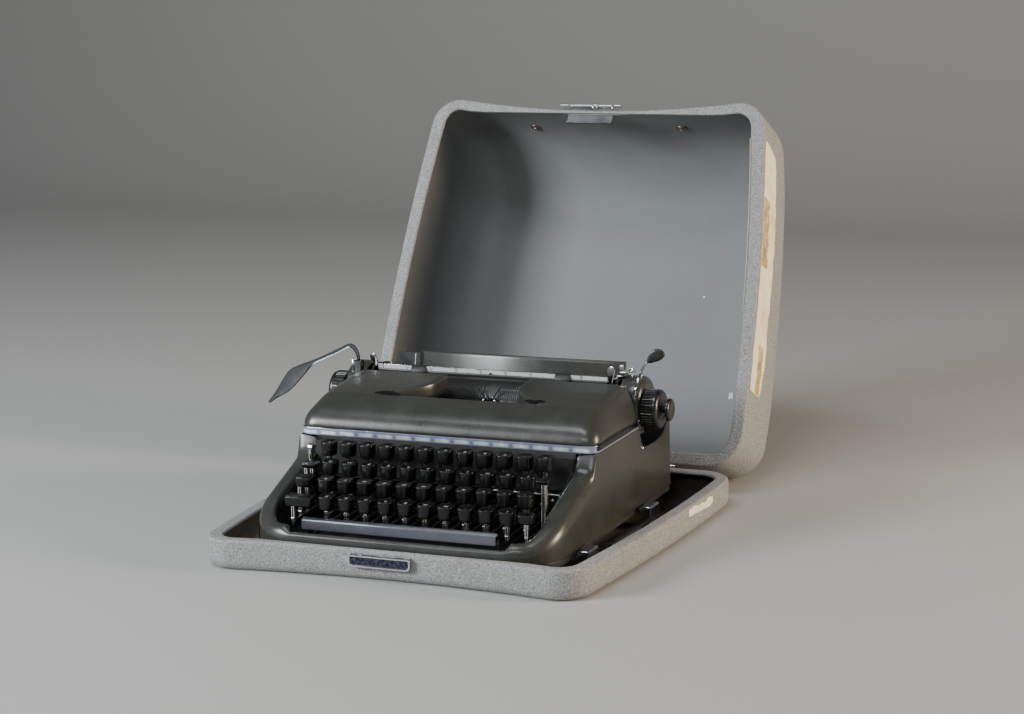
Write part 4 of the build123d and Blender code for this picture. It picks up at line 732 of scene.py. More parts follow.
def bodyStations():
    # for each place round the outline: outer point, inner point, height, edge radii
    b = body
    right = []
    frontStops = [0, 30, 60, 80, 88, 92, 95, 96.5, 97.5, 98.5]
    for x in frontStops:
        right.append(((x, b["front"]), (x, b["wellFront"])))
    for k in range(1, 25):
        turn = math.radians(90 - 90 * k / 24)
        outer = (b["half"] - b["frontRadius"] * (1 - math.cos(turn)),
                 b["front"] + b["frontRadius"] * (1 - math.sin(turn)))
        inner = (b["wellHalf"] - b["wellRadius"] * (1 - math.cos(turn)),
                 b["wellFront"] + b["wellRadius"] * (1 - math.sin(turn)))
        right.append((outer, inner))
    sideStops = [-114, -105, -95, -85, -75, -66, -60, -56.5, -54.2, -52.9]
    for y in sideStops:
        right.append(((b["half"], y), (b["wellHalf"], -130 + (y + 122) * (77.2 / 69.1))))
    wallStops = [-52.1, -50, -30, 0, 30, 50, 56] + [p[0] for p in b["cut"][:-1]]
    for y in wallStops:
        if y < b["back"] - b["backRadius"]:
            right.append(((b["half"], y), (b["half"] - b["wall"], y)))
    for k in range(0, 9):
        turn = math.radians(90 * k / 8)
        r = b["backRadius"]
        cx, cy = b["half"] - r, b["back"] - r
        right.append((
            (cx + r * math.cos(turn), cy + r * math.sin(turn)),
            (cx + (r - b["wall"]) * math.cos(turn), cy + (r - b["wall"]) * math.sin(turn)),
        ))
    for x in (110, 80, 40, 0):
        right.append(((x, b["back"]), (x, b["back"] - b["wall"])))
    # the left half mirrors the right one
    ring = right + [((-o[0], o[1]), (-i[0], i[1])) for o, i in reversed(right[1:-1])]
    stations = []
    for outer, inner in ring:
        x, y = outer
        if y < b["cowl"]:
            level = y if y > -160 else -160
            top = b["slopeTop"] - b["slope"] * (b["cowl"] - level)
            top += 11.5 * smooth(y, -60.5, -51.5) ** 1.3
            edge = 10.5 - 6.0 * smooth(y, -62, -53)
            rim = 4.0
            low, high = b["notch"]
            inNotch = 0.0
            if y < -140:
                inNotch = smooth(x, low - 7, low + 0.5) * (1 - smooth(x, high - 0.5, high + 7))
            if inNotch > 0:
                top = top + (b["lipTop"] - top) * inNotch
                edge += (3.4 - edge) * inNotch
                rim += (0.5 - rim) * inNotch
                inner = (inner[0], inner[1] + (b["front"] + 4.0 - inner[1]) * smooth(inNotch, 0.2, 0.8))
        else:
            top = b["sideTop"] if y < 57 else along(b["cut"], y)
            if abs(x) < b["half"] - b["backRadius"] + 1:
                top = b["cut"][-1][1]
            edge = 0.6 + 0.7 * smooth(y, 56, 60)
            rim = 0.4
        stations.append((outer, inner, top, edge, rim))
    return stations


def buildBody():
    b = body
    rings = []
    for outer, inner, top, edge, rim in bodyStations():
        (x0, y0), (x1, y1) = outer, inner
        across = math.dist(outer, inner)
        high = min(edge, (top - b["low"]) * 0.6)
        wide = min(edge, across - rim - 0.1)

        def spot(share, z):
            t = share / across
            return (x0 + (x1 - x0) * t, y0 + (y1 - y0) * t, z)

        section = [spot(0, b["low"] + 0.0), spot(0, b["low"] + 0.8), spot(0, b["low"] + 3.0)]
        for k in range(1, 5):
            section.append(spot(0, b["low"] + 3 + (top - high - b["low"] - 3) * k / 5))
        for k in range(8):
            turn = math.pi / 2 * k / 7
            section.append(spot(wide * (1 - math.cos(turn)), top - high + high * math.sin(turn)))
        section.append(spot((wide + across - rim) / 2, top))
        for k in range(5):
            turn = math.pi / 2 * k / 4
            section.append(spot(across - rim + rim * math.sin(turn), top - rim * (1 - math.cos(turn))))
        for k in range(1, 5):
            section.append(spot(across, top - rim + (b["low"] + 1.5 - top + rim) * k / 4))
        section.append(spot(max(across - 1.2, across * 0.5), b["low"] + 0.8))
        rings.append(section)
    count = len(rings[0])
    rings.append(rings[0])
    faces = loftFaces(len(rings), True, count)
    makePiece("bodyShell", [p for ring in rings for p in ring], faces, [bodyPaint], "machine",
              ("body_shell",))
    # panel under the band, behind the first row of keys
    points = []
    across = [-127.4, -126.2, -122, -100, -50, 0, 50, 100, 122, 126.2, 127.4]
    forward = [-2.6, -1.2, 0, 0, 0, 0, 0, 0, 0, -1.2, -2.6]
    for z in (95.0, 90.0, 84.0, 76.0, 66.0, 58.0):
        points += [(x, -52.4 + f - (95.0 - z) * 0.03, z) for x, f in zip(across, forward)]
    for z in (58.0, 95.0):
        points += [(x, -50.9, z) for x in across]
    faces = loftFaces(8, False, len(across))
    last = len(across) - 1
    n = len(across)
    faces += [tuple(reversed([r * n for r in range(8)])), tuple(r * n + last for r in range(8))]
    faces.append(tuple(range(n)) + tuple(reversed(range(7 * n, 8 * n))))
    makePiece("keyPanel", points, faces, [bodyPaint], "machine")


cover = {
    "half": 145.6, "front": -52.5, "back": 51.0, "low": 102.0, "corner": 14.0, "wall": 1.6,
    "profile": [(-52.5, 102.0), (-52.1, 104.5), (-51.0, 108.0), (-49.0, 111.8), (-46.0, 115.4),
                (-42.0, 118.6), (-37.0, 121.4), (-31.0, 124.0), (-24.5, 126.5), (-18.5, 128.6),
                (-17.2, 128.9), (-10.0, 130.3), (0.0, 131.9), (10.0, 133.1), (20.0, 134.2), (30.0, 135.0),
                (40.0, 135.7), (49.6, 136.3), (51.0, 136.4)],
    "endWide": 20.0,
    "openFront": -17.2, "openHalf": 82.0, "openRear": 43.0, "openBend": 26.0, "wallDrop": 15.0,
}


def fineProfile(points, step):
    # smooth curve through the profile's points by Catmull-Rom pieces
    out = []
    for k in range(len(points) - 1):
        p0 = points[max(k - 1, 0)]
        p1, p2 = points[k], points[k + 1]
        p3 = points[min(k + 2, len(points) - 1)]
        parts = max(1, round(math.dist(p1, p2) / step))
        for i in range(parts):
            t = i / parts
            spot = []
            for a, b, c, d in zip(p0, p1, p2, p3):
                square, cube = 2 * a - 5 * b + 4 * c - d, 3 * b - a - 3 * c + d
                spot.append(0.5 * (2 * b + (c - a) * t + square * t * t + cube * t**3))
            out.append(tuple(spot))
    out.append(points[-1])
    return out


def openingHalf(y):
    # half width of the hole over the type at y
    c = cover
    if y >= c["openBend"]:
        return c["openRear"]
    t = (y - c["openFront"]) / (c["openBend"] - c["openFront"])
    return c["openRear"] + (c["openHalf"] - c["openRear"]) * (1 - t) ** 1.7


def buildCover():
    c = cover
    profile = fineProfile(c["profile"], 2.2)
    ends = []
    for k in range(13):
        turn = math.pi / 2 * k / 12
        ends.append((c["half"] - c["endWide"] * (1 - math.cos(turn)), math.sin(turn)))

    def surface(x, share, y, z):
        # share is 0 at the ends' foot and 1 on the crown; corners in plan are rounded
        rise = c["low"] + (z - c["low"]) * share ** 0.9
        px = (abs(x) - (c["half"] - c["corner"])) / c["corner"]
        py = ((c["front"] + c["corner"]) - y) / c["corner"]
        if px > 0 and py > 0:
            nx = px * math.sqrt(1 - py * py / 2)
            ny = py * math.sqrt(1 - px * px / 2)
            x = math.copysign(c["half"] - c["corner"] + nx * c["corner"], x)
            y = c["front"] + c["corner"] - ny * c["corner"]
        return (x, y, rise)

    # the crown is cut across at fixed shares, so the hole's edge falls on a line of the mesh
    split = [i for i, p in enumerate(profile) if p[0] >= c["openFront"] - 1e-6][0]
    points, faces = [], []
    columns = 15
    for y, z in profile:
        edge = openingHalf(max(y, c["openFront"]))
        flat = c["half"] - c["endWide"]
        row = [surface(-x, s, y, z) for x, s in ends]
        row += [surface(-flat + (flat - edge) * k / columns, 1.0, y, z) for k in range(1, columns + 1)]
        row += [surface(-edge + 2 * edge * k / 14, 1.0, y, z) for k in range(1, 14)]
        row += [surface(edge + (flat - edge) * k / columns, 1.0, y, z) for k in range(columns)]
        row += [surface(x, s, y, z) for x, s in reversed(ends)]
        points += row
    count = len(row)
    leftEdge = len(ends) - 1 + columns
    rightEdge = leftEdge + 14
    for r in range(len(profile) - 1):
        for i in range(count - 1):
            if r >= split and leftEdge <= i < rightEdge:
                continue
            faces.append((r * count + i, r * count + i + 1, (r + 1) * count + i + 1, (r + 1) * count + i))
    # walls turned down from the hole's edge, rounded over
    border = [(r, leftEdge) for r in range(len(profile) - 1, split, -1)]
    border += [(split, i) for i in range(leftEdge, rightEdge + 1)]
    border += [(r, rightEdge) for r in range(split + 1, len(profile))]
    start = len(points)
    steps = [(0.9, 0.35), (1.5, 1.2), (1.8, 2.6), (2.0, 6.0), (2.2, 10.0), (2.4, c["wallDrop"])]
    for inward, down in steps:
        for r, i in border:
            x, y, z = points[r * count + i]
            onFront = r == split and leftEdge < i < rightEdge
            if onFront:
                points.append((x, y + inward * 0.8, z - min(down, 7.0)))
            elif r == split:
                points.append((x - math.copysign(inward * 1.6, x), y + inward * 0.8, z - min(down, 1.4)))
            else:
                fall = min(down, 1.4) + (down - min(down, 1.4)) * smooth(y, c["openFront"] + 5, 6)
                points.append((x - math.copysign(inward, x), y, z - fall))
    ringOf = [[r * count + i for r, i in border]]
    for k in range(len(steps)):
        ringOf.append([start + k * len(border) + j for j in range(len(border))])
    for upper, lower in zip(ringOf, ringOf[1:]):
        for j in range(len(border) - 1):
            faces.append((upper[j], upper[j + 1], lower[j + 1], lower[j]))
    piece = makePiece("coverShell", points, faces, [bodyPaint], "cover", ("ribbon_cover",))
    thick = piece.modifiers.new("wall", "SOLIDIFY")
    thick.thickness = 0.0014
    thick.offset = -1
    thick.use_even_offset = False


buildBody()
buildCover()
print("body and cover built")


# bright band between body and cover
band = {"half": 146.1, "front": -53.0, "back": 56.0, "corner": 11.5, "low": 95.1, "high": 101.9, "thick": 1.2}


def buildBand():
    b = band
    line = [(b["half"], b["back"]), (b["half"], 20), (b["half"], -15), (b["half"], -35)]
    for k in range(9):
        turn = math.radians(-90 * k / 8)
        line.append((b["half"] - b["corner"] * (1 - math.cos(turn)),
                     b["front"] + b["corner"] * (1 + math.sin(turn))))
    line += [(110, b["front"]), (60, b["front"])]
    line = line + [(0, b["front"])] + [(-x, y) for x, y in reversed(line)]
    z0, z1 = b["low"], b["high"]
    profile = [(0.9, z0), (0.25, z0 + 0.2), (0.0, z0 + 0.9), (0.12, z0 + 2.2), (0.02, z0 + 3.4),
               (0.0, z0 + 4.4), (0.3, z0 + 5.3), (0.1, z0 + 6.0), (0.35, z1 - 0.15), (0.9, z1),
               (b["thick"], z1), (b["thick"], z0)]
    rings = []
    for i, (x, y) in enumerate(line):
        before = Vector(line[max(i - 1, 0)])
        after = Vector(line[min(i + 1, len(line) - 1)])
        ahead = (after - before).normalized()
        inward = Vector((ahead.y, -ahead.x))
        # the inward side faces the middle of the machine
        if inward.dot(Vector((0, 20)) - Vector((x, y))) < 0:
            inward = -inward
        rings.append([(x + inward.x * d, y + inward.y * d, z) for d, z in profile])
    Shape().rings(rings).piece("bandShell", [bandChrome], "machine", "chrome", ("chrome_band",), 50)


buildBand()


# keys: moulded caps on steel stems and levers
keys = {
    "pitch": 19.05, "left": [-106.3, -95.4, -89.7, -79.5], "front": [-90.5, -110.3, -131.4, -151.1],
    "top": [98.3, 85.7, 75.2, 64.5], "count": [12, 11, 11, 10], "cap": 14.4, "wide": 13.9, "tall": 13.2,
    "linkedRow": 2, "linkedAt": 5, "shaft": (42.0, 46.0), "fall": 0.045, "lean": 0.06,
    "signSize": 0.0052, "signSink": 1.06, "signBend": 0.02,
}


def capShape(halfX, halfY, tall, corner, drawIn=0.7, dish=1.1, lean=0.06):
    # rings from the foot up the nearly upright sides, over the rim and down into the dished, leaning top
    shape = Shape()
    steps = [
        (-tall, -drawIn - 2.6, 0.5), (-tall + 0.1, -drawIn - 1.5, 0.7), (-tall + 0.5, -drawIn - 0.6, 0.9),
        (-tall + 1.1, -drawIn - 0.15, 1.0), (-tall + 2.2, -drawIn, 1.0), (-tall * 0.45, -drawIn * 0.5, 1.0),
        (-1.6, -0.12, 1.0), (-0.7, 0.0, 1.0), (-0.22, -0.08, 1.0), (0.0, -0.38, 0.95), (-0.05, -0.8, 0.9),
        (-0.4 * dish, -1.7, 0.8), (-0.8 * dish, -3.0, 0.7), (-1.0 * dish, -4.6, 0.5),
    ]
    rings = []
    for z, grow, tight in steps:
        hx, hy = halfX + grow, max(halfY + grow, 0.4)
        r = max(0.3, min(corner * tight, hx * 0.98, hy * 0.98))
        tilt = lean * max(0.0, 1 + z / tall)
        rings.append([(x, y, z + (y - halfY) * tilt) for x, y in roundedBox2d(0, 0, hx, hy, r, 5)])
    shape.rings(rings)
    return shape


def leverZ(y):
    return keys["shaft"][1] - keys["fall"] * (keys["shaft"][0] - y)


def keyLever(bars, stems, x, y, capFoot, deep=5.0):
    # a flat bar from the shaft, with a forked stem of two bright flats under the cap
    sy, sz = keys["shaft"]
    outline = [
        (sy + 5, sz - 3.4), (sy + 5, sz + 3.4), (sy - 5, sz + 3.6), (sy - 9, leverZ(sy - 9) + 2.4),
        (y + deep / 2, leverZ(y) + 2.5), (y + deep / 2, leverZ(y) + 6.0), (y - deep / 2, leverZ(y) + 6.0),
        (y - deep / 2, leverZ(y) - 2.5), (sy - 9, leverZ(sy - 9) - 2.4), (sy - 5, sz - 3.6),
    ]
    bars.prism(outline, "x", x - 0.6, x + 0.6, 0.15)
    for side in (-1, 1):
        stems.box((x + side * 1.0 - 0.38, y - deep / 2, leverZ(y) + 0.4),
                  (x + side * 1.0 + 0.38, y + deep / 2 - 0.6, capFoot + 0.8), 0.12)
    stems.box((x - 1.36, y - deep / 2 + 0.2, capFoot - 1.6), (x + 1.36, y + deep / 2 - 0.8, capFoot - 0.4),
              0.12)
    stems.lathe([(x - 1.6, 0.5), (x - 1.5, 0.9), (x + 1.5, 0.9), (x + 1.6, 0.5)],
                (y - deep / 2 + 0.4, leverZ(y) + 4.4), 10)


legends = ["1234567890-=", "QWERTYUIOP/", "ASDFGHJKL;:", "ZXCVBNM,.?"]


def addSign(shape, text, size, place, upright="TOP_BASELINE"):
    # flat lettering made a mesh; place turns its across and up, in mm, into a point of the machine
    letters = bpy.data.curves.new("sign", "FONT")
    letters.body = text
    letters.size = size
    letters.align_x = "CENTER"
    letters.align_y = upright
    letters.resolution_u = 2
    carrier = bpy.data.objects.new("sign", letters)
    bpy.context.scene.collection.objects.link(carrier)
    bpy.context.view_layer.update()
    flat = bpy.data.meshes.new_from_object(carrier.evaluated_get(bpy.context.evaluated_depsgraph_get()))
    shape.add([place(v.co.x * 1000, v.co.y * 1000) for v in flat.vertices],
              [tuple(p.vertices) for p in flat.polygons])
    bpy.data.objects.remove(carrier)
    bpy.data.meshes.remove(flat)


def capLegends(row, picked, x, y, z, body, name):
    # one sign lying in the dish of each picked cap
    k = keys
    signs = Shape()
    for at in picked:
        def place(across, up):
            sink = k["signSink"] - k["signBend"] * (across * across + up * up)
            return (x + at * k["pitch"] + across, y + up, z - sink + (up - k["wide"] / 2) * k["lean"])
        addSign(signs, legends[row][at], k["signSize"], place, "CENTER")
    signs.piece(name, [scaleWhite], body, "key_plastic")


def buildKeys():
    k = keys
    for row in range(4):
        letter = "abcd"[row]
        middle = k["front"][row] + k["cap"] / 2
        first = k["left"][row] + k["cap"] / 2
        top = k["top"][row]
        template = makeTemplate(capShape(k["wide"] / 2, k["wide"] / 2, k["tall"], 4.4), 50)
        if row == k["linkedRow"]:
            at = k["linkedAt"]
            runs = [((first, middle, top), (k["pitch"], 0, 0), at),
                    ((first + (at + 1) * k["pitch"], middle, top), (k["pitch"], 0, 0),
                     k["count"][row] - at - 1)]
            spread("linkedCap", template, [((first + at * k["pitch"], middle, top), (k["pitch"], 0, 0), 1)],
                   "linked_key", keyBlack, ("linked_key",))
            bar, stem = Shape(), Shape()
            keyLever(bar, stem, first + at * k["pitch"], middle, top - k["tall"] + 0.2)
            bar.piece("linkedLever", [japanned], "linked_key", "steel")
            stem.piece("linkedStem", [stemSteel], "linked_key", "steel")
            capLegends(row, [at], first, middle, top, "linked_key", "linkedLegend")
        else:
            runs = [((first, middle, top), (k["pitch"], 0, 0), k["count"][row])]
        spread("keyCaps%d" % (row + 1), template, runs, "key_row_" + letter, keyBlack,
               ("key_row_%d" % (row + 1),))
        bpy.data.objects.remove(template)
        bars, stems = Shape(), Shape()
        others = [i for i in range(k["count"][row]) if not (row == k["linkedRow"] and i == k["linkedAt"])]
        capLegends(row, others, first, middle, top, "key_row_" + letter, "keyLegends%d" % (row + 1))
        for i in range(k["count"][row]):
            if row == k["linkedRow"] and i == k["linkedAt"]:
                continue
            keyLever(bars, stems, first + i * k["pitch"], middle, top - k["tall"] + 0.2)
        bars.piece("keyLevers%d" % (row + 1), [japanned], "key_row_" + letter, "steel")
        stems.piece("keyStems%d" % (row + 1), [stemSteel], "key_row_" + letter, "steel")
    # keys beside the rows: what they ride on, left, right, front, depth, top, height, place of the lever
    front = k["front"]
    top = k["top"]
    side = {
        "shift_left": ("shift_key_left", -111.5, -84.5, front[3], 13.0, top[3] - 2, 9.5, -105.0),
        "shift_right": ("shift_key_right", 109.5, 123.4, front[3] + 1.6, 11.4, top[3] - 2, 9.0, 117.0),
        "shift_lock": ("shift_lock", -110.5, -95.0, front[2], 13.5, top[2], 9.5, -108.3),
        "tab_key": ("tab_key", -115.5, -99.5, front[1], 12.0, top[1] - 3, 5.0, -112.0),
        "backspace_key": ("backspace_key", 112.5, 124.5, front[1] - 4, 9.5, top[1] - 1, 5.0, 121.0),
    }
    for node, (body, x0, x1, y0, deep, z1, tall, leverX) in side.items():
        cap = capShape((x1 - x0) / 2, deep / 2, tall, 2.8, 0.7, 0.7, 0.06)
        cap.points = [(x + (x0 + x1) / 2, y + y0 + deep / 2, z + z1) for x, y, z in cap.points]
        cap.piece(node + "Cap", [keyBlack], body, "key_plastic", (node,), 50)
        bar, stem = Shape(), Shape()
        keyLever(bar, stem, leverX, y0 + deep / 2, z1 - tall + 0.6, 4.0)
        if node == "backspace_key":
            # long bright flat that comes forward and down from the key
            bar.prism([(y0 + 1.2, z1 - tall + 1), (y0 + 4.8, z1 - tall + 1), (y0 + 3.6, leverZ(y0) + 2),
                       (y0 - 0.4, leverZ(y0) + 2)], "x", leverX - 2.3, leverX + 0.6, 0.3)
            for edge in (-2.6, 0.4):
                stem.prism([(y0 + 1, z1 - tall + 1), (y0 + 3.0, z1 - tall + 1), (y0 + 1.6, leverZ(y0) + 2),
                            (y0 - 0.6, leverZ(y0) + 2)],
                           "x", leverX + edge, leverX + edge + 0.6, 0.1)
        bar.piece(node + "Lever", [japanned], body, "steel")
        stem.piece(node + "Stem", [stemSteel], body, "steel")
    # little chrome lever at the far left of the first row
    margin = Shape()
    x, y, z = -116.8, front[0] + 6.5, top[0] - 4
    margin.prism([(y - 3.4, z - 5), (y - 4.2, z - 2.4), (y - 3.4, z - 0.4), (y, z + 0.6),
                  (y + 3.6, z - 0.6), (y + 4.2, z - 3), (y + 3.2, z - 5)], "x", x - 2.6, x + 2.6, 0.7)
    margin.tube([(x, y - 2.5, z - 3), (x, y - 3.4, z - 9), (x, y - 2.0, z - 20)], 1.4, 8)
    keyLever(margin, margin, x, y, z - 4, 4.0)
    margin.piece("marginLever", [chrome], "margin_key", "chrome", ("margin_release_key",))


space = {
    "left": -88.5, "right": 95.5, "front": -163.2, "deep": 7.7, "top": 47.5, "tall": 10.5,
    "arms": [-85.4, 94.4], "shaft": (-40.0, 28.0),
}


def buildSpaceBar():
    s = space
    y0, y1, z0, z1 = s["front"], s["front"] + s["deep"], s["top"] - s["tall"], s["top"]
    profile = [
        (y0 + 0.9, z0), (y0 + 0.25, z0 + 0.4), (y0, z0 + 1.4), (y0 + 0.05, z0 + 4.0), (y0 + 0.35, z1 - 2.6),
        (y0 + 0.9, z1 - 1.1), (y0 + 1.9, z1 - 0.3), (y0 + 3.4, z1), (y1 - 2.2, z1 - 0.15),
        (y1 - 0.9, z1 - 0.7), (y1 - 0.1, z1 - 1.8), (y1, z1 - 3.2), (y1, z1 - 5.2), (y1 - 0.9, z1 - 5.4),
        (y1 - 1.4, z1 - 3.6), (y0 + 2.0, z1 - 3.4), (y0 + 1.9, z0 + 0.2),
    ]
    bar = Shape()
    rings = []
    for x, pull in ((s["left"], 0.9), (s["left"] + 0.3, 0.35), (s["left"] + 1.0, 0.0),
                    (s["right"] - 1.0, 0.0), (s["right"] - 0.3, 0.35), (s["right"], 0.9)):
        ring = inset2d(profile, pull) if pull else profile
        rings.append([(x, y, z) for y, z in ring])
    bar.rings(rings)
    bar.piece("spaceBar", [barBlack], "space_bar", "key_plastic", ("space_bar",), 50)
    arms = Shape()
    sy, sz = s["shaft"]
    for x in s["arms"]:
        arms.prism([
            (sy + 4.5, sz + 4), (sy - 6, sz + 4), (y1 + 8, sz + 2), (y1, z1 - 6), (y0 + 3, z1 - 6),
            (y0 + 3, z0 + 1), (y1, 28.5), (sy + 4.5, sz - 4),
        ], "x", x - 0.8, x + 0.8, 0.15)
    arms.piece("spaceArms", [japanned], "space_bar", "steel")


buildKeys()
buildSpaceBar()
print("keys built")


# carriage: sizes are taken from its middle or from the machine, as noted
carriage = {
    "middle": -6.0, "platenY": 79.0, "platenZ": 109.6, "housing": (130.0, 151.0), "frontY": 62.0,
    "backY": 112.0, "top": 138.0, "low": 89.0, "wall": 1.6, "shaft": 6.0, "knob": (152.0, 168.0),
    "knobRadius": 18.4, "button": (173.0, 177.0), "buttonRadius": 10.5, "stem": 3.4,
}


def curveThrough(points, steps=5):
    # smooth open curve through the given points
    out = []
    count = len(points)
    for i in range(count - 1):
        p0, p1, p2, p3 = (Vector(points[min(max(i + k, 0), count - 1)]) for k in (-1, 0, 1, 2))
        for s in range(steps):
            t = s / steps
            out.append(tuple(0.5 * ((2 * p1) + (p2 - p0) * t + (2 * p0 - 5 * p1 + 4 * p2 - p3) * t * t
                                    + (3 * p1 - p0 - 3 * p2 + p3) * t ** 3)))
    out.append(tuple(points[-1]))
    return out


def domeOutline(less, count=72):
    # the housing's side view, read off by rays from the shaft
    c = carriage
    r = (c["backY"] - c["frontY"]) / 2
    my, mz = (c["backY"] + c["frontY"]) / 2, c["top"] - r
    dense = [(my + (r - less) * math.cos(math.radians(a)), mz + (r - less) * math.sin(math.radians(a)))
             for a in range(0, 181, 5)]
    dense += [(my - r + less, c["low"] + less), (my + r - less, c["low"] + less)]
    out = []
    for k in range(count):
        d = Vector((math.cos(2 * math.pi * k / count), math.sin(2 * math.pi * k / count)))
        best = None
        for i in range(len(dense)):
            a, b = Vector(dense[i]), Vector(dense[(i + 1) % len(dense)])
            e = b - a
            cross = d.x * e.y - d.y * e.x
            if abs(cross) < 1e-9:
                continue
            w = a - Vector((c["platenY"], c["platenZ"]))
            t = (w.x * e.y - w.y * e.x) / cross
            s = (w.x * d.y - w.y * d.x) / cross
            if t > 0 and -1e-6 <= s <= 1 + 1e-6:
                best = t if best is None else min(best, t)
        out.append((c["platenY"] + d.x * best, c["platenZ"] + d.y * best))
    return out


def buildHousing(side):
    c = carriage
    x0, x1 = (c["middle"] + side * v for v in c["housing"])
    wall = c["wall"]
    rings = []

    def ring(x, less):
        rings.append([(x, y, z) for y, z in domeOutline(less)])

    def hole(x):
        r = c["shaft"] + 1.0
        rings.append([(x, c["platenY"] + r * math.cos(2 * math.pi * k / 72),
                       c["platenZ"] + r * math.sin(2 * math.pi * k / 72))
                      for k in range(72)])

    ring(x0, 0.3)
    ring(x0 + side * 0.3, 0)
    for k in range(7):
        turn = math.radians(90 * k / 6)
        ring(x1 - side * 6.0 * (1 - math.sin(turn)), 6.0 * (1 - math.cos(turn)))
    hole(x1)
    hole(x1 - side * wall)
    ring(x1 - side * wall, 7.0)
    ring(x1 - side * 5.5, wall)
    ring(x0, wall)
    rings.append(rings[0])
    return Shape().rings(rings, capped=False)


def buildHousings():
    c = carriage
    for side, name in ((1, "right"), (-1, "left")):
        buildHousing(side).piece(name + "Housing", [bodyPaint], "carriage", "body_paint",
                                 (name + "_housing",), 50)
    posts = Shape()
    posts.box((-141, 54.5, 115.5), (-133, 63, 119.5), 0.5)
    for x, y, low, high, r in ((-137, 58, 119, 143.6, 2.3), (-149, 70, 126, 142, 1.9),
                               (129, 86, 136.5, 146, 1.6)):
        posts.tube([(x, y, low), (x, y, high - 0.6), (x, y, high - 0.2), (x, y, high)],
                   [r, r, r * 0.85, r * 0.4], 16)
    for side in (-1, 1):
        for y in (66, 108):
            xs = [c["middle"] + side * v for v in (126.2, 150)]
            posts.lathe([(min(xs), 2.6), (max(xs), 2.6)], (y, 99), 12)
    # bent link in front of the right housing, and its screws
    posts.tube(curveThrough([(143.6, 74, 143.2), (143.3, 70, 142.4), (142.9, 65, 138), (142.2, 60.6, 131),
                             (141.1, 60.4, 125.2)], 4),
               1.3, 10, flat=0.6)
    posts.lathe([(134.6, 3.1), (134.8, 3.4), (135.8, 3.4)], (80.0, 133.0), 20)
    # bracket beside the platen's right end
    posts.prism(roundedBox2d(118.4, 134.2, 4.2, 4.2, 2.2), "y", 80, 81.3, 0.25)
    posts.prism([(80, 126), (80, 137), (83, 138), (95, 136), (95, 126)], "x", 121.2, 122.4, 0.2)
    posts.piece("carriageFittings", [chrome], "carriage", "chrome", (), 40)
    # painted shade: a thin dark disc stands for the shadow inside the bracket's hole
    dark = Shape()
    dark.prism(roundedBox2d(118.4, 134.2, 2.0, 2.0, 1.9), "y", 79.85, 80.1, 0.05)
    dark.piece("bracketHole", [japanned], "carriage", "black_steel")


def buildKnob(side, name, node):
    c = carriage
    x0, x1 = c["knob"]
    r = c["knobRadius"]
    profile = [(x0, 8.0), (x0, r - 1.2), (x0 + 0.9, r), (x0 + 11.2, r), (x0 + 11.5, r - 0.1)]
    for k in range(1, 7):
        turn = math.radians(90 * k / 6)
        profile.append((x1 - 4.2 + 4.2 * math.sin(turn), r - 4.2 * (1 - math.cos(turn)) - 0.05))
    profile += [(x1, 9.4), (x1 - 0.5, 8.6), (x1 - 0.5, 6.2), (x1, 5.8), (x1, c["stem"] + 0.1)]
    centre = (c["platenY"], c["platenZ"])
    shape = Shape()

    def rib(x, k):
        deep = 0.8 if x0 + 0.5 < abs(x - c["middle"]) < x0 + 11.3 else 0.0
        return deep if k % 4 in (0, 1) else 0.0

    shape.lathe([(c["middle"] + side * x, radius) for x, radius in profile], centre, 160, rib=rib)
    shape.piece(name, [darkKnob], "platen", "dark_plastic", (node,), 30)


def buildPlaten():
    c = carriage
    buildKnob(1, "rightKnob", "right_knob")
    buildKnob(-1, "leftKnob", "left_knob")
    x0 = c["button"][0]
    r = c["buttonRadius"]
    button = Shape()
    button.lathe([(c["middle"] + x, radius) for x, radius in (
        (160.5, c["stem"]), (x0 - 0.4, c["stem"]), (x0, 4.6), (x0, r - 0.9), (x0 + 0.5, r), (x0 + 2.2, r),
        (x0 + 3.1, r - 0.5), (x0 + 3.7, r - 1.6), (x0 + 3.9, r - 3.0), (x0 + 3.6, 4.0), (x0 + 3.6, 0.4))],
        (c["platenY"], c["platenZ"]), 48)
    button.piece("releaseButton", [darkKnob], "release_button", "dark_plastic", ("release_button",), 40)


bail = {"y": 72.8, "z": 133.0, "half": 117.0, "rod": 1.8, "strip": (70.75, 71.65, 133.2, 138.4),
        "rollers": (-80.0, 67.0), "rollerWidth": 15.0, "rollerRadius": 6.4, "pivot": (98.0, 124.0),
        "arm": 121.0, "markPitch": 2.54, "marksLeft": 44, "digitSize": 0.0032, "digitFoot": 2.8}


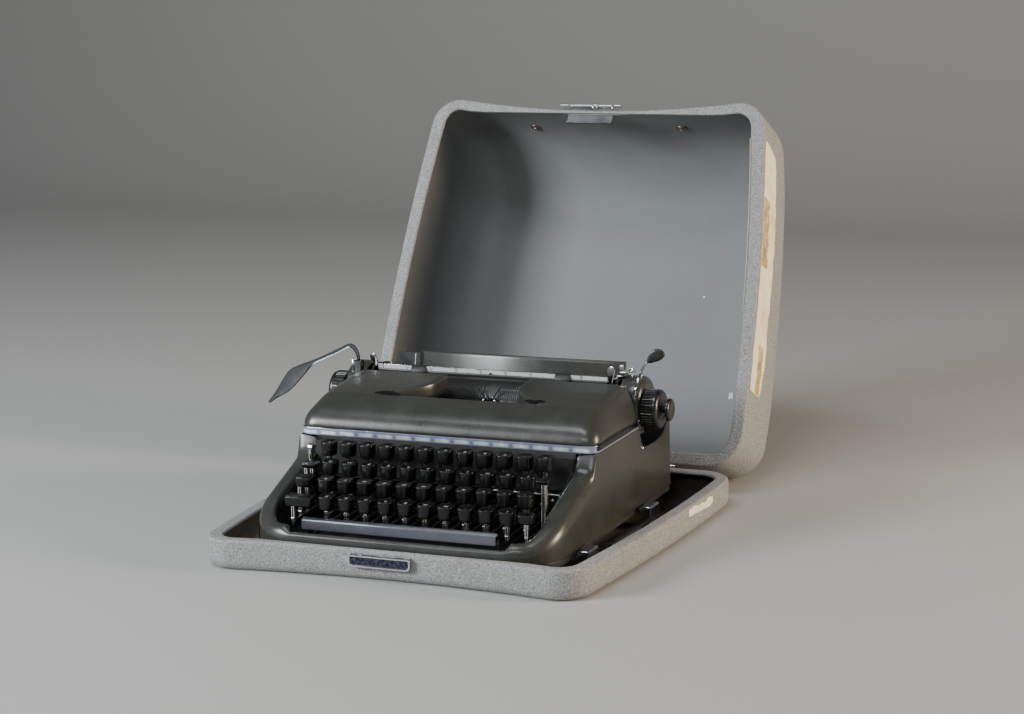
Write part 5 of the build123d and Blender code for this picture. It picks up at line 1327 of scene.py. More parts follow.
def buildBail():
    b = bail
    mid = carriage["middle"]
    left, right = mid - b["half"], mid + b["half"]
    gap = b["rollerWidth"] / 2 + 0.3
    stretches = [(left, b["rollers"][0] - gap), (b["rollers"][0] + gap, b["rollers"][1] - gap),
                 (b["rollers"][1] + gap, right)]
    y0, y1, z0, z1 = b["strip"]
    frameShape = Shape()
    strips = Shape()
    rails = Shape()
    frameShape.lathe([(mid - b["arm"], b["rod"]), (mid + b["arm"], b["rod"])], (b["y"], b["z"]), 16)
    for x0, x1 in stretches:
        strips.box((x0, y0, z0), (x1, y1, z1), 0.25)
        rails.lathe([(x0, 1.8), (x0 + 0.3, 2.6), (x1 - 0.3, 2.6), (x1, 1.8)], (b["y"], b["z"]), 20)
        # bright bead along the strip's top edge
        frameShape.lathe([(x0, 0.5), (x1, 0.5)], ((y0 + y1) / 2, z1), 8)
    py, pz = b["pivot"]
    for side in (-1, 1):
        x = mid + side * b["arm"]
        frameShape.prism([(b["y"] - 2.5, b["z"] - 2.4), (b["y"] - 2.5, b["z"] + 2.6),
                          (b["y"] + 3, b["z"] + 2.8), (py + 2, pz + 3.2), (py + 3.4, pz),
                          (py + 1, pz - 3.2), (py - 3, pz - 2.2)], "x", x - 0.8, x + 0.8, 0.2)
        frameShape.lathe([(min(x, x + side * 5), 1.6), (max(x, x + side * 5), 1.6)], (py, pz), 16)
    # finger tabs: a rounded spoon at the right, a taller loop at the left
    for outline in (
        [(112.2, 131.4), (115.4, 131.4), (116.6, 137), (118.2, 142), (118.6, 145.5), (117.6, 147.8),
         (115, 148.7), (112.6, 148.2), (111.2, 146), (111.0, 142), (111.7, 137)],
        [(-126.0, 131.4), (-123.8, 131.4), (-123.4, 138), (-124.2, 144), (-126.4, 148), (-129, 148.8),
         (-131.2, 147.4), (-131.6, 144.5), (-130.0, 141.5), (-127.4, 138)],
    ):
        ring = curveThrough(outline + [outline[0]], 3)[:-1]
        frameShape.prism(ring, "y", 70.3, 71.8, 0.45)
    frameShape.piece("bailFrame", [chrome], "bail", "chrome", ("paper_bail",), 40)
    strips.piece("scaleStrip", [scaleWhite], "bail", "chrome", (), 40)
    rails.piece("scaleRail", [bodyPaint], "bail", "chrome", (), 40)
    # scale marks a tenth of an inch apart, every fifth and tenth one longer
    pitch = b["markPitch"]
    runs = {1.3: [], 2.0: [], 2.7: []}
    first = mid - b["marksLeft"] * pitch
    for tall, each in ((1.3, 1), (2.0, 5), (2.7, 10)):
        for a, z in stretches:
            k0 = math.ceil((a + 0.6 - first) / (pitch * each))
            k1 = math.floor((z - 0.6 - first) / (pitch * each))
            if k1 >= k0:
                runs[tall].append(((first + k0 * each * pitch, y0 - 0.03, z0 + 0.3), (pitch * each, 0, 0),
                                   k1 - k0 + 1))
    for index, (tall, places) in enumerate(runs.items()):
        tick = Shape().box((-0.3, -0.04, 0), (0.3, 0.04, tall), 0.01)
        template = makeTemplate(tick)
        spread("scaleTicks%d" % index, template, places, "bail", japanned)
        bpy.data.objects.remove(template)
    # numbers over every tenth mark, and a dark pointer in the middle
    marks = Shape()
    for k in range(9):
        x = first + k * 10 * pitch
        if any(abs(x - r) < gap + 2 for r in b["rollers"]):
            continue
        addSign(marks, str(k * 10), b["digitSize"],
                lambda across, up: (x + across, y0 - 0.05, z0 + b["digitFoot"] + up))
    marks.piece("scaleDigits", [japanned], "bail", "black_steel")
    arrow = [(mid - 3.4, z0 - 0.2), (mid + 3.4, z0 - 0.2), (mid, z0 + 3.4)]
    pointer = Shape().prism(arrow, "y", y0 - 0.25, y0 - 0.02, 0.05)
    pointer.piece("scalePointer", [japanned], "bail", "black_steel")
    rollers = Shape()
    rims = Shape()
    for x in b["rollers"]:
        w, r = b["rollerWidth"] / 2, b["rollerRadius"]
        rollers.lathe([(x - w, 2.0), (x - w, r - 1.0), (x - w + 0.6, r - 0.25), (x - w + 1.4, r),
                       (x + w - 1.4, r), (x + w - 0.6, r - 0.25), (x + w, r - 1.0), (x + w, 2.0)],
                       (b["y"], b["z"]), 40)
        rims.lathe([(x + w - 0.1, 1.9), (x + w - 0.1, 3.6), (x + w + 0.15, 3.4), (x + w + 0.15, 1.9)],
                   (b["y"], b["z"]), 24)
    rollers.piece("bailRollers", [rollRubber], "bail_rollers", "rubber", ("bail_rollers",), 40)
    rims.piece("rollerRims", [steel], "bail_rollers", "brass")


def buildReturnLever():
    upper = [(-136.5, 142), (-137.4, 149), (-140.5, 156), (-147.7, 159), (-160, 153.3), (-184, 142.3),
             (-209.7, 132), (-219.5, 122), (-230, 107), (-238, 97)]
    under = [(-236, 95.5), (-228, 101), (-214, 109), (-199, 124), (-190, 134), (-184, 138.5), (-160, 149.5),
             (-148.5, 155.3), (-143, 153), (-139.9, 147), (-139.5, 142)]
    top = curveThrough(upper, 5)
    foot = list(reversed(curveThrough(under, 5)))
    count = 60
    y0, y1 = 58.4, 60.4
    rings = []

    def at(line, t):
        place = t * (len(line) - 1)
        i = min(int(place), len(line) - 2)
        return Vector(line[i]).lerp(Vector(line[i + 1]), place - i)

    for k in range(count + 1):
        t = k / count
        a, b = at(top, t), at(foot, t)
        inner = a.lerp(b, 0.5)
        rings.append([
            (a.x, y0 + 0.7, a.y), (a.lerp(b, 0.05).x, y0, a.lerp(b, 0.05).y), (inner.x, y0 + 0.5, inner.y),
            (a.lerp(b, 0.95).x, y0, a.lerp(b, 0.95).y), (b.x, y0 + 0.7, b.y), (b.x, y1 - 0.5, b.y),
            (a.lerp(b, 0.93).x, y1, a.lerp(b, 0.93).y), (inner.x, y1 - 0.2, inner.y),
            (a.lerp(b, 0.07).x, y1, a.lerp(b, 0.07).y), (a.x, y1 - 0.5, a.y),
        ])
    lever = Shape().rings(rings)
    lever.prism(roundedBox2d(-137, 58, 4.0, 3.5, 1.4), "z", 120.2, 144, 0.5)
    lever.lathe([(-141.2, 1.2), (-141.2, 2.4), (-140.8, 2.8), (-140.0, 2.8)], (58, 140.2), 20)
    lever.piece("returnLever", [leverSteel], "return_lever", "chrome", ("return_lever",), 40)


paperGuide = {"lean": 12.095, "footY": 99.4, "footZ": 111.0}


def leanPoint(x, v, w):
    # place on the paper guide's leaning face: v up the face, w towards the front
    g = paperGuide
    lean = math.radians(g["lean"])
    return (x, g["footY"] + v * math.sin(lean) - w * math.cos(lean),
            g["footZ"] + v * math.cos(lean) + w * math.sin(lean))


def buildTable():
    sheet = Shape()
    stops = [(101.0, 91.2), (101.0, 111.0), (104.0, 125.0), (107.8, 143.0), (108.4, 145.2), (109.3, 146.0),
             (110.2, 145.4), (109.9, 143.6), (105.2, 124.8), (102.2, 110.8), (102.2, 91.2)]
    rings = []
    for x in (-93.0, -92.7, 115.7, 116.0):
        pull = 0.35 if x in (-93.0, 116.0) else 0.0
        rings.append([(x, y, z) for y, z in (inset2d(stops, pull) if pull else stops)])
    sheet.rings(rings)
    sheet.piece("paperTable", [bodyPaint], "carriage", "body_paint", ("paper_table",), 50)
    guide = Shape()
    outline = [(-124, 7), (-117, 34.5), (-93.8, 34.5), (-93.8, 7)]
    pts = roundTriangle(outline, 1.2)
    rings = []
    for pull, w in ((0.25, 0.0), (0.0, 0.25), (0.0, 0.75), (0.25, 1.0)):
        rings.append([leanPoint(x, v, w) for x, v in (inset2d(pts, pull) if pull else pts)])
    guide.rings(rings)
    guide.lathe([(-116, 2.3), (-98, 2.3)], (99.6, 117), 20)
    guide.piece("paperGuide", [keyBlack], "paper_guide", "dark_plastic", ("paper_guide",), 40)
    line = Shape()
    corners = ((-99.6, 9), (-98.9, 9), (-98.9, 33), (-99.6, 33))
    line.add([leanPoint(x, v, 1.04) for x, v in corners], [(0, 1, 2, 3)])
    line.piece("guideLine", [scaleWhite], "paper_guide", "chrome")


def roundTriangle(outline, radius, steps=3):
    # outline with each corner rounded by a short curve
    out = []
    count = len(outline)
    for i in range(count):
        p, q, r = (Vector(outline[(i + k) % count]) for k in (-1, 0, 1))
        a = q + (p - q).normalized() * radius
        b = q + (r - q).normalized() * radius
        for s in range(steps + 1):
            t = s / steps
            out.append(tuple((1 - t) ** 2 * a + 2 * t * (1 - t) * q + t * t * b))
    return out


def buildReleases():
    lever = Shape()
    lever.prism([(86.6, 119), (88, 117.4), (92, 117.4), (93.4, 119), (91.6, 139.5), (88.4, 139.5)], "x",
                136.2, 138.0, 0.2)
    lever.tube(curveThrough([(137.1, 90, 134), (137.1, 90, 139.2), (138.6, 90, 143.5), (141.3, 90, 148.3),
                             (144.2, 90, 152.2)], 4),
               [1.3] * 16 + [1.5], 10)
    drop = curveThrough([(143.0, 150.6), (144.2, 155.5), (147.2, 160.2), (150.6, 163.0), (154.4, 163.8),
                         (158.2, 162.4), (160.7, 158.8), (158.6, 155.0), (154.8, 152.6), (150.2, 151.0),
                         (146.0, 149.9), (143.0, 150.6)], 4)[:-1]
    rings = []
    for pull, y in ((2.6, 88.0), (1.2, 88.1), (0.35, 88.6), (0.0, 89.4), (0.0, 90.4), (0.35, 91.2),
                    (1.2, 91.7), (2.6, 91.8)):
        middle = Vector((151.2, 156.6))
        ring = []
        for x, z in drop:
            ring.append((x + (middle.x - x) * pull * 0.12, y, z + (middle.y - z) * pull * 0.12))
        rings.append(ring)
    tip = Shape().rings(rings)
    tip.piece("releaseTip", [darkKnob], "paper_release", "black_steel", (), 40)
    lever.piece("paperRelease", [chrome], "paper_release", "chrome", ("paper_release_lever",), 40)
    hook = Shape()
    hook.prism([(125.0, 88.6), (127.2, 90.2), (130.8, 90.2), (133.0, 88.4), (134.5, 77.6), (128.2, 75.4),
                (121.6, 75.5), (121.3, 78.8)], "z", 140.7, 143.1, 0.4)
    hook.prism([(121.6, 75.5), (121.3, 78.8), (124.6, 79.2), (125.2, 76.05)], "z", 142.8, 149.2, 0.5)
    hook.piece("carriageRelease", [chrome], "carriage_release", "chrome", ("carriage_release_lever",), 40)


buildHousings()
buildPlaten()
buildBail()
buildReturnLever()
buildTable()
buildReleases()
print("carriage built")


# fittings of the case
def dome(shape, centre, normal, radius, high, kind=0, sides=20):
    # a rivet head or other low dome on a surface
    n = Vector(normal).normalized()
    a = n.cross(Vector((0, 1, 0.3))).normalized()
    b = n.cross(a)
    c = Vector(centre)
    rings = []
    for r, h in ((0.97, -0.4), (1.0, 0.15), (0.93, 0.5), (0.74, 0.82), (0.45, 0.97), (0.12, 1.0)):
        ring = []
        for k in range(sides):
            turn = 2 * math.pi * k / sides
            ring.append(tuple(c + (a * math.cos(turn) + b * math.sin(turn)) * radius * r + n * high * h))
        rings.append(ring)
    return shape.rings(rings, kind)


def turned(shape, centre, profile, sides=24, lobes=0, kind=0):
    # profile of (radius, z) pairs turned about an upright axis, with shallow finger hollows if asked
    rings = []
    for r, z in profile:
        ring = []
        for k in range(sides):
            turn = 2 * math.pi * k / sides
            q = r * (1 - (0.09 * (0.5 - 0.5 * math.cos(lobes * turn)) if lobes else 0))
            ring.append((centre[0] + q * math.cos(turn), centre[1] + q * math.sin(turn), z))
        rings.append(ring)
    return shape.rings(rings, kind)


latch = {"middle": -6.5, "half": 29.5, "low": 13.0, "high": 24.0, "back": -175.5, "front": -179.6}


def buildLatch():
    c = latch
    left, right = c["middle"] - c["half"], c["middle"] + c["half"]
    plate = Shape()
    plate.box((left + 1, c["back"] - 2.2, c["low"] + 0.6), (right - 1, c["back"], c["high"]), 0.3)
    for x in (c["middle"] - 18, c["middle"] + 14):
        plate.box((x - 2, c["back"] - 3.0, c["high"] - 0.4), (x + 2, c["back"] - 0.4, c["high"] + 0.9), 0.3)
    plate.piece("latchPlate", [chrome], "machine", "chrome", ("latch_plate",))
    # the flap's frame: a raised bright border round a dark mottled field
    outline = []
    for x, z, r in ((right, c["high"] - 0.6, 1.0), (left, c["high"] - 0.6, 1.0),
                    (left, c["low"] - 0.4, 4.2), (right, c["low"] - 0.4, 4.2)):
        sx = 1 if x > c["middle"] else -1
        sz = 1 if z > 18 else -1
        start = {(1, 1): 0, (-1, 1): 90, (-1, -1): 180, (1, -1): 270}[(sx, sz)]
        for k in range(7):
            turn = math.radians(start + 90 * k / 6)
            outline.append((x - sx * r + r * math.cos(turn), z - sz * r + r * math.sin(turn)))
    rings = []
    for pull, y in ((0.2, c["back"] - 2.4), (0.0, c["back"] - 2.8), (0.0, c["front"] + 0.6),
                    (0.25, c["front"] + 0.1), (0.8, c["front"]), (1.5, c["front"] + 0.15),
                    (1.9, c["front"] + 0.8)):
        rings.append([(x, y, z) for x, z in (inset2d(outline, pull) if pull else outline)])
    flap = Shape()
    flap.rings(rings, capped=False)
    count = len(outline)
    last = (len(rings) - 1) * count
    flap.faces.append(tuple(reversed(range(count))))
    flap.kinds.append(0)
    flap.faces.append(tuple(range(last, last + count)))
    flap.kinds.append(1)
    flap.piece("latchFlap", [chrome, mottled], "latch", "chrome", ("latch_tongue",))


def buildLidFittings():
    # keeper on the lid's front wall, near the rim, with its bright rolled edges
    keeper = Shape()
    keeper.box((-36, -176.0, 1.2), (23, -174.2, 15.5), 0.4)
    keeper.box((-30, -180.6, 2.4), (-4, -175.6, 14.0), 1.1)
    keeper.box((0, -180.2, 2.4), (16, -175.6, 14.0), 1.1)
    for x0, x1, r in ((-41, -31.5, 1.9), (-30.5, -4.5, 1.6), (-4, 0, 2.4), (0.5, 16, 1.7), (18, 26, 2.0)):
        keeper.lathe([(x0, r * 0.6), (x0 + 0.4, r), (x1 - 0.4, r), (x1, r * 0.6)], (-180.0, 3.6), 14)
    # posts the handle turns in
    for side in (-1, 1):
        x0 = side * 49.5
        keeper.box((x0 - 3.4, -182.6, 25.2), (x0 + 3.4, -174.2, 34.8), 1.8)
    keeper.points = [toLid(p) for p in keeper.points]
    keeper.piece("lidKeeper", [chrome], "lid", "chrome", ("handle_posts",))
    handle = Shape()
    path = curveThrough([(-43.6, -181.5, 29.0), (-43.6, -181.6, 36.0), (-41.5, -182.0, 43.5),
                         (-32, -182.8, 46.6), (-14, -183.4, 47.4), (14, -183.4, 47.4), (32, -182.8, 46.6),
                         (41.5, -182.0, 43.5), (43.6, -181.6, 36.0), (43.6, -181.5, 29.0)], 4)
    radii = [2.1 + 1.9 * smooth(41 - abs(x), 0, 7) for x, y, h in path]
    handle.tube([toLid(p) for p in path], radii, 16)
    handle.tube([toLid(p) for p in ((-50, -181.5, 30), (-42.0, -181.5, 30))], 1.9, 12)
    handle.tube([toLid(p) for p in ((42.0, -181.5, 30), (50, -181.5, 30))], 1.9, 12)
    handle.piece("lidHandle", [darkKnob], "handle", "dark_plastic", ("lid_handle",))
    # striker plate at the inner edge of the flange, with two rivets
    striker = Shape()
    striker.box((-31, -162.8, 0.1), (18, -160.2, 4.6), 0.3)
    striker.box((-31, -172.0, 3.2), (18, -162.0, 4.6), 0.3)
    for x in (-25.5, 12.0):
        striker.box((x - 3.6, -163.6, -0.35), (x + 3.6, -160.6, 0.5), 0.4)
        dome(striker, (x, -162.2, -0.3), (0, 0, -1), 1.5, 0.6, sides=14)
    striker.points = [toLid(p) for p in striker.points]
    striker.piece("lidStriker", [skirtSteel], "lid", "steel", ("lid_catch",))
    rivets = Shape()
    dome(rivets, (-87.6, 396.8, 335.1), (-0.08, -0.57, -0.82), 5.4, 2.4)
    dome(rivets, (77.3, 391.5, 337.0), (0.07, -0.47, -0.88), 6.0, 2.4)
    rivets.piece("lidRivets", [rustyRivet], "lid", "steel")
    caps = Shape()
    dome(caps, (-87.6, 395.8, 333.6), (-0.08, -0.57, -0.82), 2.2, 1.8, sides=14)
    dome(caps, (77.3, 390.6, 335.4), (0.07, -0.47, -0.88), 2.0, 1.6, sides=14)
    caps.piece("rivetCaps", [steel], "lid", "steel")
    label = Shape()
    for x, y, h, w, t in ((141.8, 349.6, 66.4, 2.4, 3.4), (99.5, 393.4, 160.7, 1.3, 1.0)):
        n = Vector((0, -0.9063, 0.4226))
        up = Vector((0, 0.4226, 0.9063))
        c = Vector((x, y, h))
        corners = []
        for a, b in ((-1, -1), (1, -0.9), (0.9, 1), (-0.9, 0.95)):
            corners.append(c + Vector((a * w, 0, 0)) + up * b * t)
        label.rings([[tuple(q - n * 0.2) for q in corners], [tuple(q + n * 0.35) for q in corners]])
    label.piece("insideLabel", [scaleWhite], "lid", "paper_tape")
    # thin bead along the inner edge of the lid's flange
    bead = []
    for x, y in caseRing(case["flange"] + 0.5):
        if -148 < y < 38 and x > 100:
            bead.append(toLid((x, y, 0.9)))
    Shape().tube(bead, 0.75, 8).piece("flangeBead", [caseBead], "lid", "case_lacquer")


def tornEdge(at, seed, size):
    # uneven edge of torn paper, the same on every run
    waves = ((0.31, 1.0, 0.5), (0.83, 2.1, 0.3), (1.9, 3.7, 0.25))
    return size * sum(math.sin(at * fast + seed * shift) * share for fast, shift, share in waves)


def tapeStrip(stops, place):
    # a thin strip; each stop gives the distance along, the lower and the upper edge
    rings = []
    for at, low, high in stops:
        ring = []
        for lift, levels in ((0.35, (0.0, 0.25, 0.5, 0.75, 1.0)), (0.02, (1.0, 0.5, 0.0))):
            for level in levels:
                ring.append(place(at, low + (high - low) * level, lift))
        rings.append(ring)
    return Shape().rings(rings)


def buildTapes():
    def onLid(y, h, lift):
        return toLid((caseHalf(y) + 0.12 + lift, y, h))

    stops = []
    for k in range(88):
        y = -146 + 3 * k
        if y > 109:
            break
        upper = along([(-146, 14), (-139, 43), (-57, 48.5), (7, 45), (40, 42), (68, 45.5), (100, 39.5),
                       (109, 37)], y)
        lower = along([(-146, 4), (-60, 3.6), (-20, 4.0), (38, 3.4), (60, 1.8), (107, 3.4)], y)
        stops.append((y, lower + tornEdge(y, 1.0, 0.7), upper + tornEdge(y, 2.4, 1.5)))
    tapeStrip(stops, onLid).piece("lidTape", [oldTape], "lid", "paper_tape", ("lid_tape",), 30)
    # second layer, torn shorter, and a stretch of brown glue
    layers = (
        ("lidTapeTop", 60, 1.5, 33, (20, 4.0, 1.6), (34, 5.5, 2.2), 0.3),
        ("lidTapeOld", -88, 2, 36, (5, 0.4, 1.5), (24, 3.1, 3.5), 0.25),
    )
    for name, first, step, count, low, high, rise in layers:
        stops = []
        for k in range(count):
            y = first + step * k
            stops.append((y, low[0] + tornEdge(y, low[1], low[2]), high[0] + tornEdge(y, high[1], high[2])))
        tape = tapeStrip(stops, lambda y, h, lift: onLid(y, h, lift + rise))
        tape.piece(name, [gluedTape], "lid", "paper_tape", (), 30)

    def onTray(y, z, lift):
        return (caseHalf(y) + 0.1 + lift, y, z)

    stops = []
    for k in range(44):
        y = 45.5 + 1.5 * k
        lower = along([(45, 18.8), (54, 18.4), (103, 15.6), (109, 17.5)], y)
        upper = along([(45, 25.0), (60, 25.6), (76, 23.4), (90, 22.6), (96, 24.4), (109, 23.6)], y)
        stops.append((y, lower + tornEdge(y, 0.7, 0.35), upper + tornEdge(y, 1.9, 1.1)))
    tapeStrip(stops, onTray).piece("trayTape", [oldTape], "machine", "paper_tape", (), 30)


def roundedPlan(half, front, back, frontRadius, backRadius, steps=10):
    # plan outline with two radii, running round anticlockwise from the rear right
    out = []
    for cx, cy, r, start in ((half, back, backRadius, 0), (-half, back, backRadius, 90),
                             (-half, front, frontRadius, 180), (half, front, frontRadius, 270)):
        sx = 1 if cx > 0 else -1
        sy = 1 if cy > 0 else -1
        for k in range(steps + 1):
            turn = math.radians(start + 90 * k / steps)
            out.append((cx - sx * r + r * math.cos(turn), cy - sy * r + r * math.sin(turn)))
    return out


def buildTrayFittings():
    # bent steel clips either side of the machine
    clips = Shape()
    for side in (-1, 1):
        for y in (-99.0, 60.0):
            outline = [(148.7, 19.2), (148.7, 21.4), (150.2, 23.6), (152.2, 24.0), (158.4, 24.0),
                       (160.0, 22.6), (160.0, 2.6), (157.6, 2.6), (157.6, 20.4), (156.6, 21.2),
                       (152.2, 21.2), (150.6, 19.2)]
            clips.prism([(side * x, z) for x, z in outline], "y", y - 12, y + 12, 0.5)
            clips.box((min(side * 150.0, side * 159.4), y - 11, 2.5),
                      (max(side * 150.0, side * 159.4), y + 11, 3.9), 0.3)
        # bracket under the clamp screw
        x = side * 160.0
        clips.box((x - 9, -75, 2.5), (x + 9, -57, 11.4), 1.6)
    clips.piece("trayClips", [brightSteel], "machine", "steel", ("hold_down_clips",))
    for side, name in ((1, "right"), (-1, "left")):
        knob = Shape()
        x = side * 160.0
        turned(knob, (x, -66), [(3.0, 11.6), (6.6, 11.8), (7.9, 12.6), (8.0, 14.4), (7.4, 15.8),
                                (5.2, 16.6), (4.2, 17.2), (4.6, 18.2), (4.2, 19.4), (2.6, 20.0),
                                (0.4, 20.1)], 36, 6)
        knob.piece("clampKnob" + name.title(), [darkKnob], "clamp_" + name, "dark_plastic",
                   ("clamp_screw_" + name,))
        ring = Shape()
        turned(ring, (x, -66), [(8.1, 13.0), (8.3, 13.4), (8.3, 13.9), (8.1, 14.3), (7.6, 14.3),
                                (7.6, 13.0)], 36, 6)
        ring.piece("clampRing" + name.title(), [chrome], "clamp_" + name, "chrome")
    # metal skirt under the body with a bright line at its top
    for name, finish, inset, low, high, wall in (
        ("baseSkirt", skirtSteel, 0.9, 16.6, 22.1, 1.2), ("baseLine", chrome, 0.15, 21.5, 22.15, 1.6),
    ):
        rings = []
        for pull, z in ((inset + wall, low), (inset, low), (inset, high), (inset + wall, high),
                        (inset + wall, low)):
            plan = roundedPlan(145.6 - pull, -168 + pull, 157.3 - pull, 46 - pull, 14 - pull)
            rings.append([(x, y, z) for x, y in plan])
        Shape().rings(rings, capped=False).piece(name, [finish], "machine", "body_paint")


def buildBodyDetails():
    # rolled lip round the cut for the platen knobs
    lip = Shape()
    for side in (-1, 1):
        path = [(side * 144.5, 57.4, 101.5)] + [(side * 144.5, y, z) for y, z in body["cut"][:-1]]
        lip.tube(curveThrough(path, 2), 1.35, 12)
    lip.piece("cutLips", [bodyPaint], "machine", "body_paint")
    # painted shade in the slots, as dark boxes, and a bright rod at the right of the key panel
    slot = Shape().box((130.6, -53.4, 87.6), (131.5, -52.2, 95.0), 0.1)
    slot.box((121.8, -53.6, 60.5), (123.6, -52.2, 67.0), 0.1)
    slot.piece("panelSlots", [japanned], "machine", "black_steel")
    rod = Shape().lathe([(56.0, 0.9), (126.6, 0.9)], (-90.8, 66.3), 10)
    for x, y, z in ((118.5, -88, 60.5), (121.5, -92, 54.5), (112.0, -96, 58.5)):
        dome(rod, (x, y, z), (0, -0.8, 0.6), 1.7, 1.4, sides=12)
    rod.piece("panelRod", [chrome], "machine", "chrome")
    # screws at the foot of the cut
    screws = Shape()
    dome(screws, (146.0, 66.0, 75.2), (0.6, -0.2, 0.8), 1.7, 1.3, sides=14)
    dome(screws, (-146.0, 66.0, 75.2), (-0.6, -0.2, 0.8), 1.7, 1.3, sides=14)
    screws.piece("cutScrews", [chrome], "machine", "steel")


def buildCoverSlots():
    # dark lens-shaped slots at the ends of the well in the cover
    slots = Shape()
    for points in (
        [(-86.0, -15.2, 129.75), (-80.5, -11.5, 130.3), (-73.0, -9.5, 130.4), (-65.0, -12.0, 130.0),
         (-58.5, -17.2, 129.3), (-65.0, -17.9, 129.1), (-74.0, -17.6, 129.2)],
        [(61.5, -8.8, 129.9), (67.0, -6.2, 130.3), (74.5, -6.4, 130.5), (82.5, -11.0, 130.3),
         (76.0, -14.2, 129.7), (68.5, -14.0, 129.6)],
    ):
        ring = curveThrough(points + [points[0]], 4)[:-1]
        slots.rings([[(x, y, z - 0.6) for x, y, z in ring], [(x, y, z + 0.35) for x, y, z in ring]])
    slots.piece("coverSlots", [inkCloth], "cover", "black_steel")


def roundPlaten(x, radius, turn):
    # a place about the platen's axis
    return (x, carriage["platenY"] + radius * math.cos(turn), carriage["platenZ"] + radius * math.sin(turn))


shield = {"runs": ((-46.0, -10.5), (4.5, 40.0)), "inner": 17.9, "outer": 18.4, "turn": 184, "turnStep": 8.0,
          "ribRadius": 18.5, "ribFirst": (-45.2, 5.4), "ribPitch": 1.9, "ribs": 18, "guideX": -3.0}


def buildTypeGuide():
    # ribbed shield on the carriage that follows the platen, with the guide in front of it
    s = shield
    card = Shape()
    for x0, x1 in s["runs"]:
        rings = []
        for radius, order in ((s["inner"], range(9)), (s["outer"], reversed(range(9)))):
            for k in order:
                turn = math.radians(s["turn"] - s["turnStep"] * k)
                rings.append([roundPlaten(x, radius, turn) for x in (x0, x1)])
        card.rings([[r[0] for r in rings], [r[1] for r in rings]])
    card.piece("cardHolder", [japanned], "carriage", "black_steel")
    template = Shape()
    path = [roundPlaten(0, s["ribRadius"], math.radians(a)) for a in range(182, 121, -10)]
    template.tube(path, 0.32, 6)
    copy = makeTemplate(template)
    runs = [((x, 0, 0), (s["ribPitch"], 0, 0), s["ribs"]) for x in s["ribFirst"]]
    spread("cardRibs", copy, runs, "carriage", rollRubber)
    bpy.data.objects.remove(copy)
    guide = Shape()
    for side in (-1, 1):
        x = s["guideX"] + side * 3.0
        guide.prism([(x - 1.9, 108.5), (x + 1.9, 108.5), (x + 1.9, 113.0), (x + 0.4 * side + 0.9, 115.4),
                     (x + 0.4 * side - 0.9, 115.4), (x - 1.9, 113.4)], "y", 58.1, 59.6, 0.35)
        dome(guide, (x + side * 2.6, 58.4, 112.0), (0, -1, 0.2), 1.3, 0.8, sides=12)
    guide.piece("typeGuideJaws", [chrome], "machine", "chrome")
    vee = Shape()
    for side in (-1, 1):
        bends = ((3.5, 59.0, 113.5), (6.5, 58.6, 118.0), (11.5, 58.2, 125.0))
        vee.tube([(s["guideX"] + side * x, y, z) for x, y, z in bends], 0.75, 8)
    vee.piece("guideWires", [japanned], "machine", "black_steel")


buildLatch()
buildLidFittings()
buildTapes()
buildTrayFittings()
buildBodyDetails()
buildCoverSlots()
buildTypeGuide()
print("fittings built")


# camera, lamps and floor
cameraPlan = {
    "place": (0.867206, -1.944691, 0.572134), "azimuth": 22.89, "height": 10.86, "roll": -1.32, "lens": 83.7,
}
c = cameraPlan
az, el, roll = (math.radians(c[k]) for k in ("azimuth", "height", "roll"))
back = Vector((math.sin(az) * math.cos(el), -math.cos(az) * math.cos(el), math.sin(el)))
side = Vector((math.cos(az), math.sin(az), 0))
rise = back.cross(side)
right = side * math.cos(roll) + rise * math.sin(roll)
up = rise * math.cos(roll) - side * math.sin(roll)
cameraData = bpy.data.cameras.new("camera")
cameraData.lens = c["lens"]
cameraData.sensor_width = 36.0
cameraData.clip_start = 0.05
camera = bpy.data.objects.new("camera", cameraData)
bpy.context.scene.collection.objects.link(camera)
camera.matrix_world = Matrix((
    (right.x, up.x, back.x, c["place"][0]),
    (right.y, up.y, back.y, c["place"][1]),
    (right.z, up.z, back.z, c["place"][2]),
    (0, 0, 0, 1),
))
bpy.context.scene.camera = camera


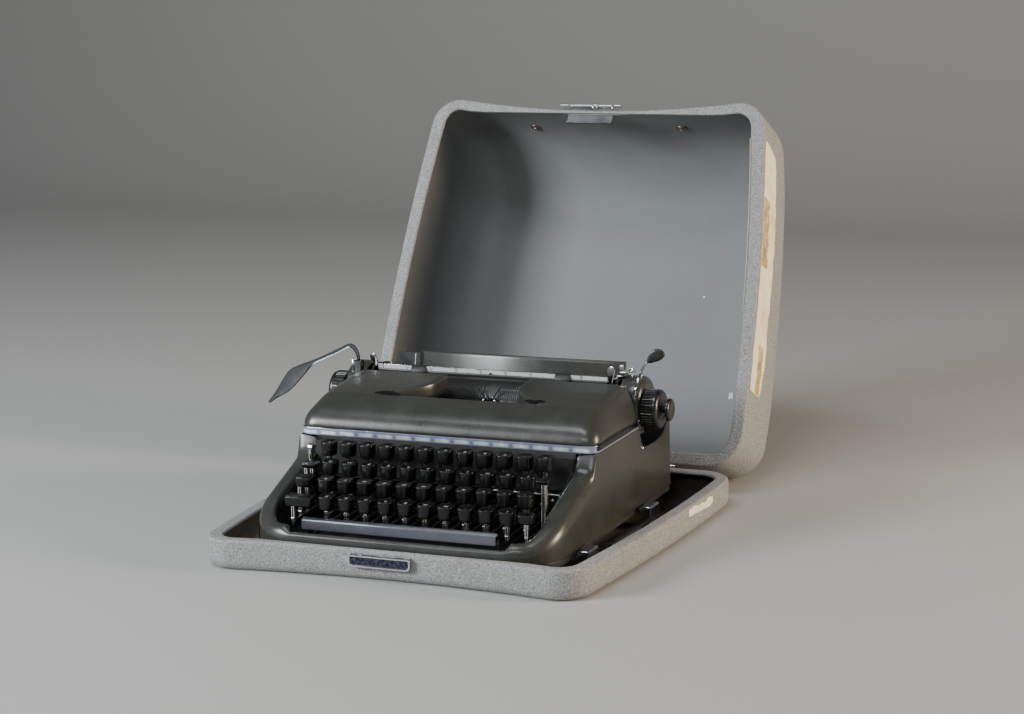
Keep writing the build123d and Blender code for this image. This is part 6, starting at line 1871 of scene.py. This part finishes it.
def addLamp(name, place, target, power, size, colour):
    lamp = bpy.data.lights.new(name, "AREA")
    lamp.energy = power
    lamp.shape = "RECTANGLE"
    lamp.size, lamp.size_y = size
    lamp.color = colour
    piece = bpy.data.objects.new(name, lamp)
    bpy.context.scene.collection.objects.link(piece)
    piece.location = place
    piece.rotation_euler = (Vector(target) - Vector(place)).to_track_quat("-Z", "Y").to_euler()


addLamp("coolPanel", (-1.62, -1.6, 1.0), (0.0, 0.05, 0.12), 74.0, (0.9, 0.7), (0.90, 0.96, 1.0))
addLamp("warmPanel", (2.1, 0.32, 0.6), (0.05, 0.05, 0.1), 50.0, (0.45, 0.8), (1.0, 0.83, 0.62))
addLamp("frontPanel", (0.3, -2.2, 1.6), (0.0, 0.0, 0.1), 14.0, (1.8, 0.35), (0.93, 0.97, 1.0))
addLamp("topPanel", (-0.2, -0.7, 2.1), (0.0, -0.05, 0.1), 16.0, (1.3, 0.6), (0.93, 0.97, 1.0))

world = bpy.data.worlds.new("world")
world.use_nodes = True
world.node_tree.nodes["Background"].inputs["Color"].default_value = (0.62, 0.66, 0.70, 1)
world.node_tree.nodes["Background"].inputs["Strength"].default_value = 0.13
bpy.context.scene.world = world

# pale floor that sweeps up behind the object
stage = {"front": -5.0, "bend": 2.0, "radius": 1.2, "half": 6.0, "top": 4.0}
sweep = [(stage["front"], 0.0), (stage["bend"], 0.0)]
for k in range(1, 17):
    turn = math.pi / 2 * k / 16
    sweep.append((stage["bend"] + stage["radius"] * math.sin(turn), stage["radius"] * (1 - math.cos(turn))))
sweep.append((stage["bend"] + stage["radius"], stage["top"]))
floorFinish = Finish("paleFloor", Base_Color=(0.43, 0.425, 0.415, 1), Roughness=0.8)
floorMesh = bpy.data.meshes.new("floor")
floorMesh.from_pydata(
    [(x, y, z) for y, z in sweep for x in (-stage["half"], stage["half"])], [],
    [(2 * k, 2 * k + 1, 2 * k + 3, 2 * k + 2) for k in range(len(sweep) - 1)],
)
floorMesh.polygons.foreach_set("use_smooth", [True] * len(floorMesh.polygons))
floorMesh.materials.append(floorFinish.material)
floor = bpy.data.objects.new("floor", floorMesh)
bpy.context.scene.collection.objects.link(floor)
print("camera, lamps and floor placed")
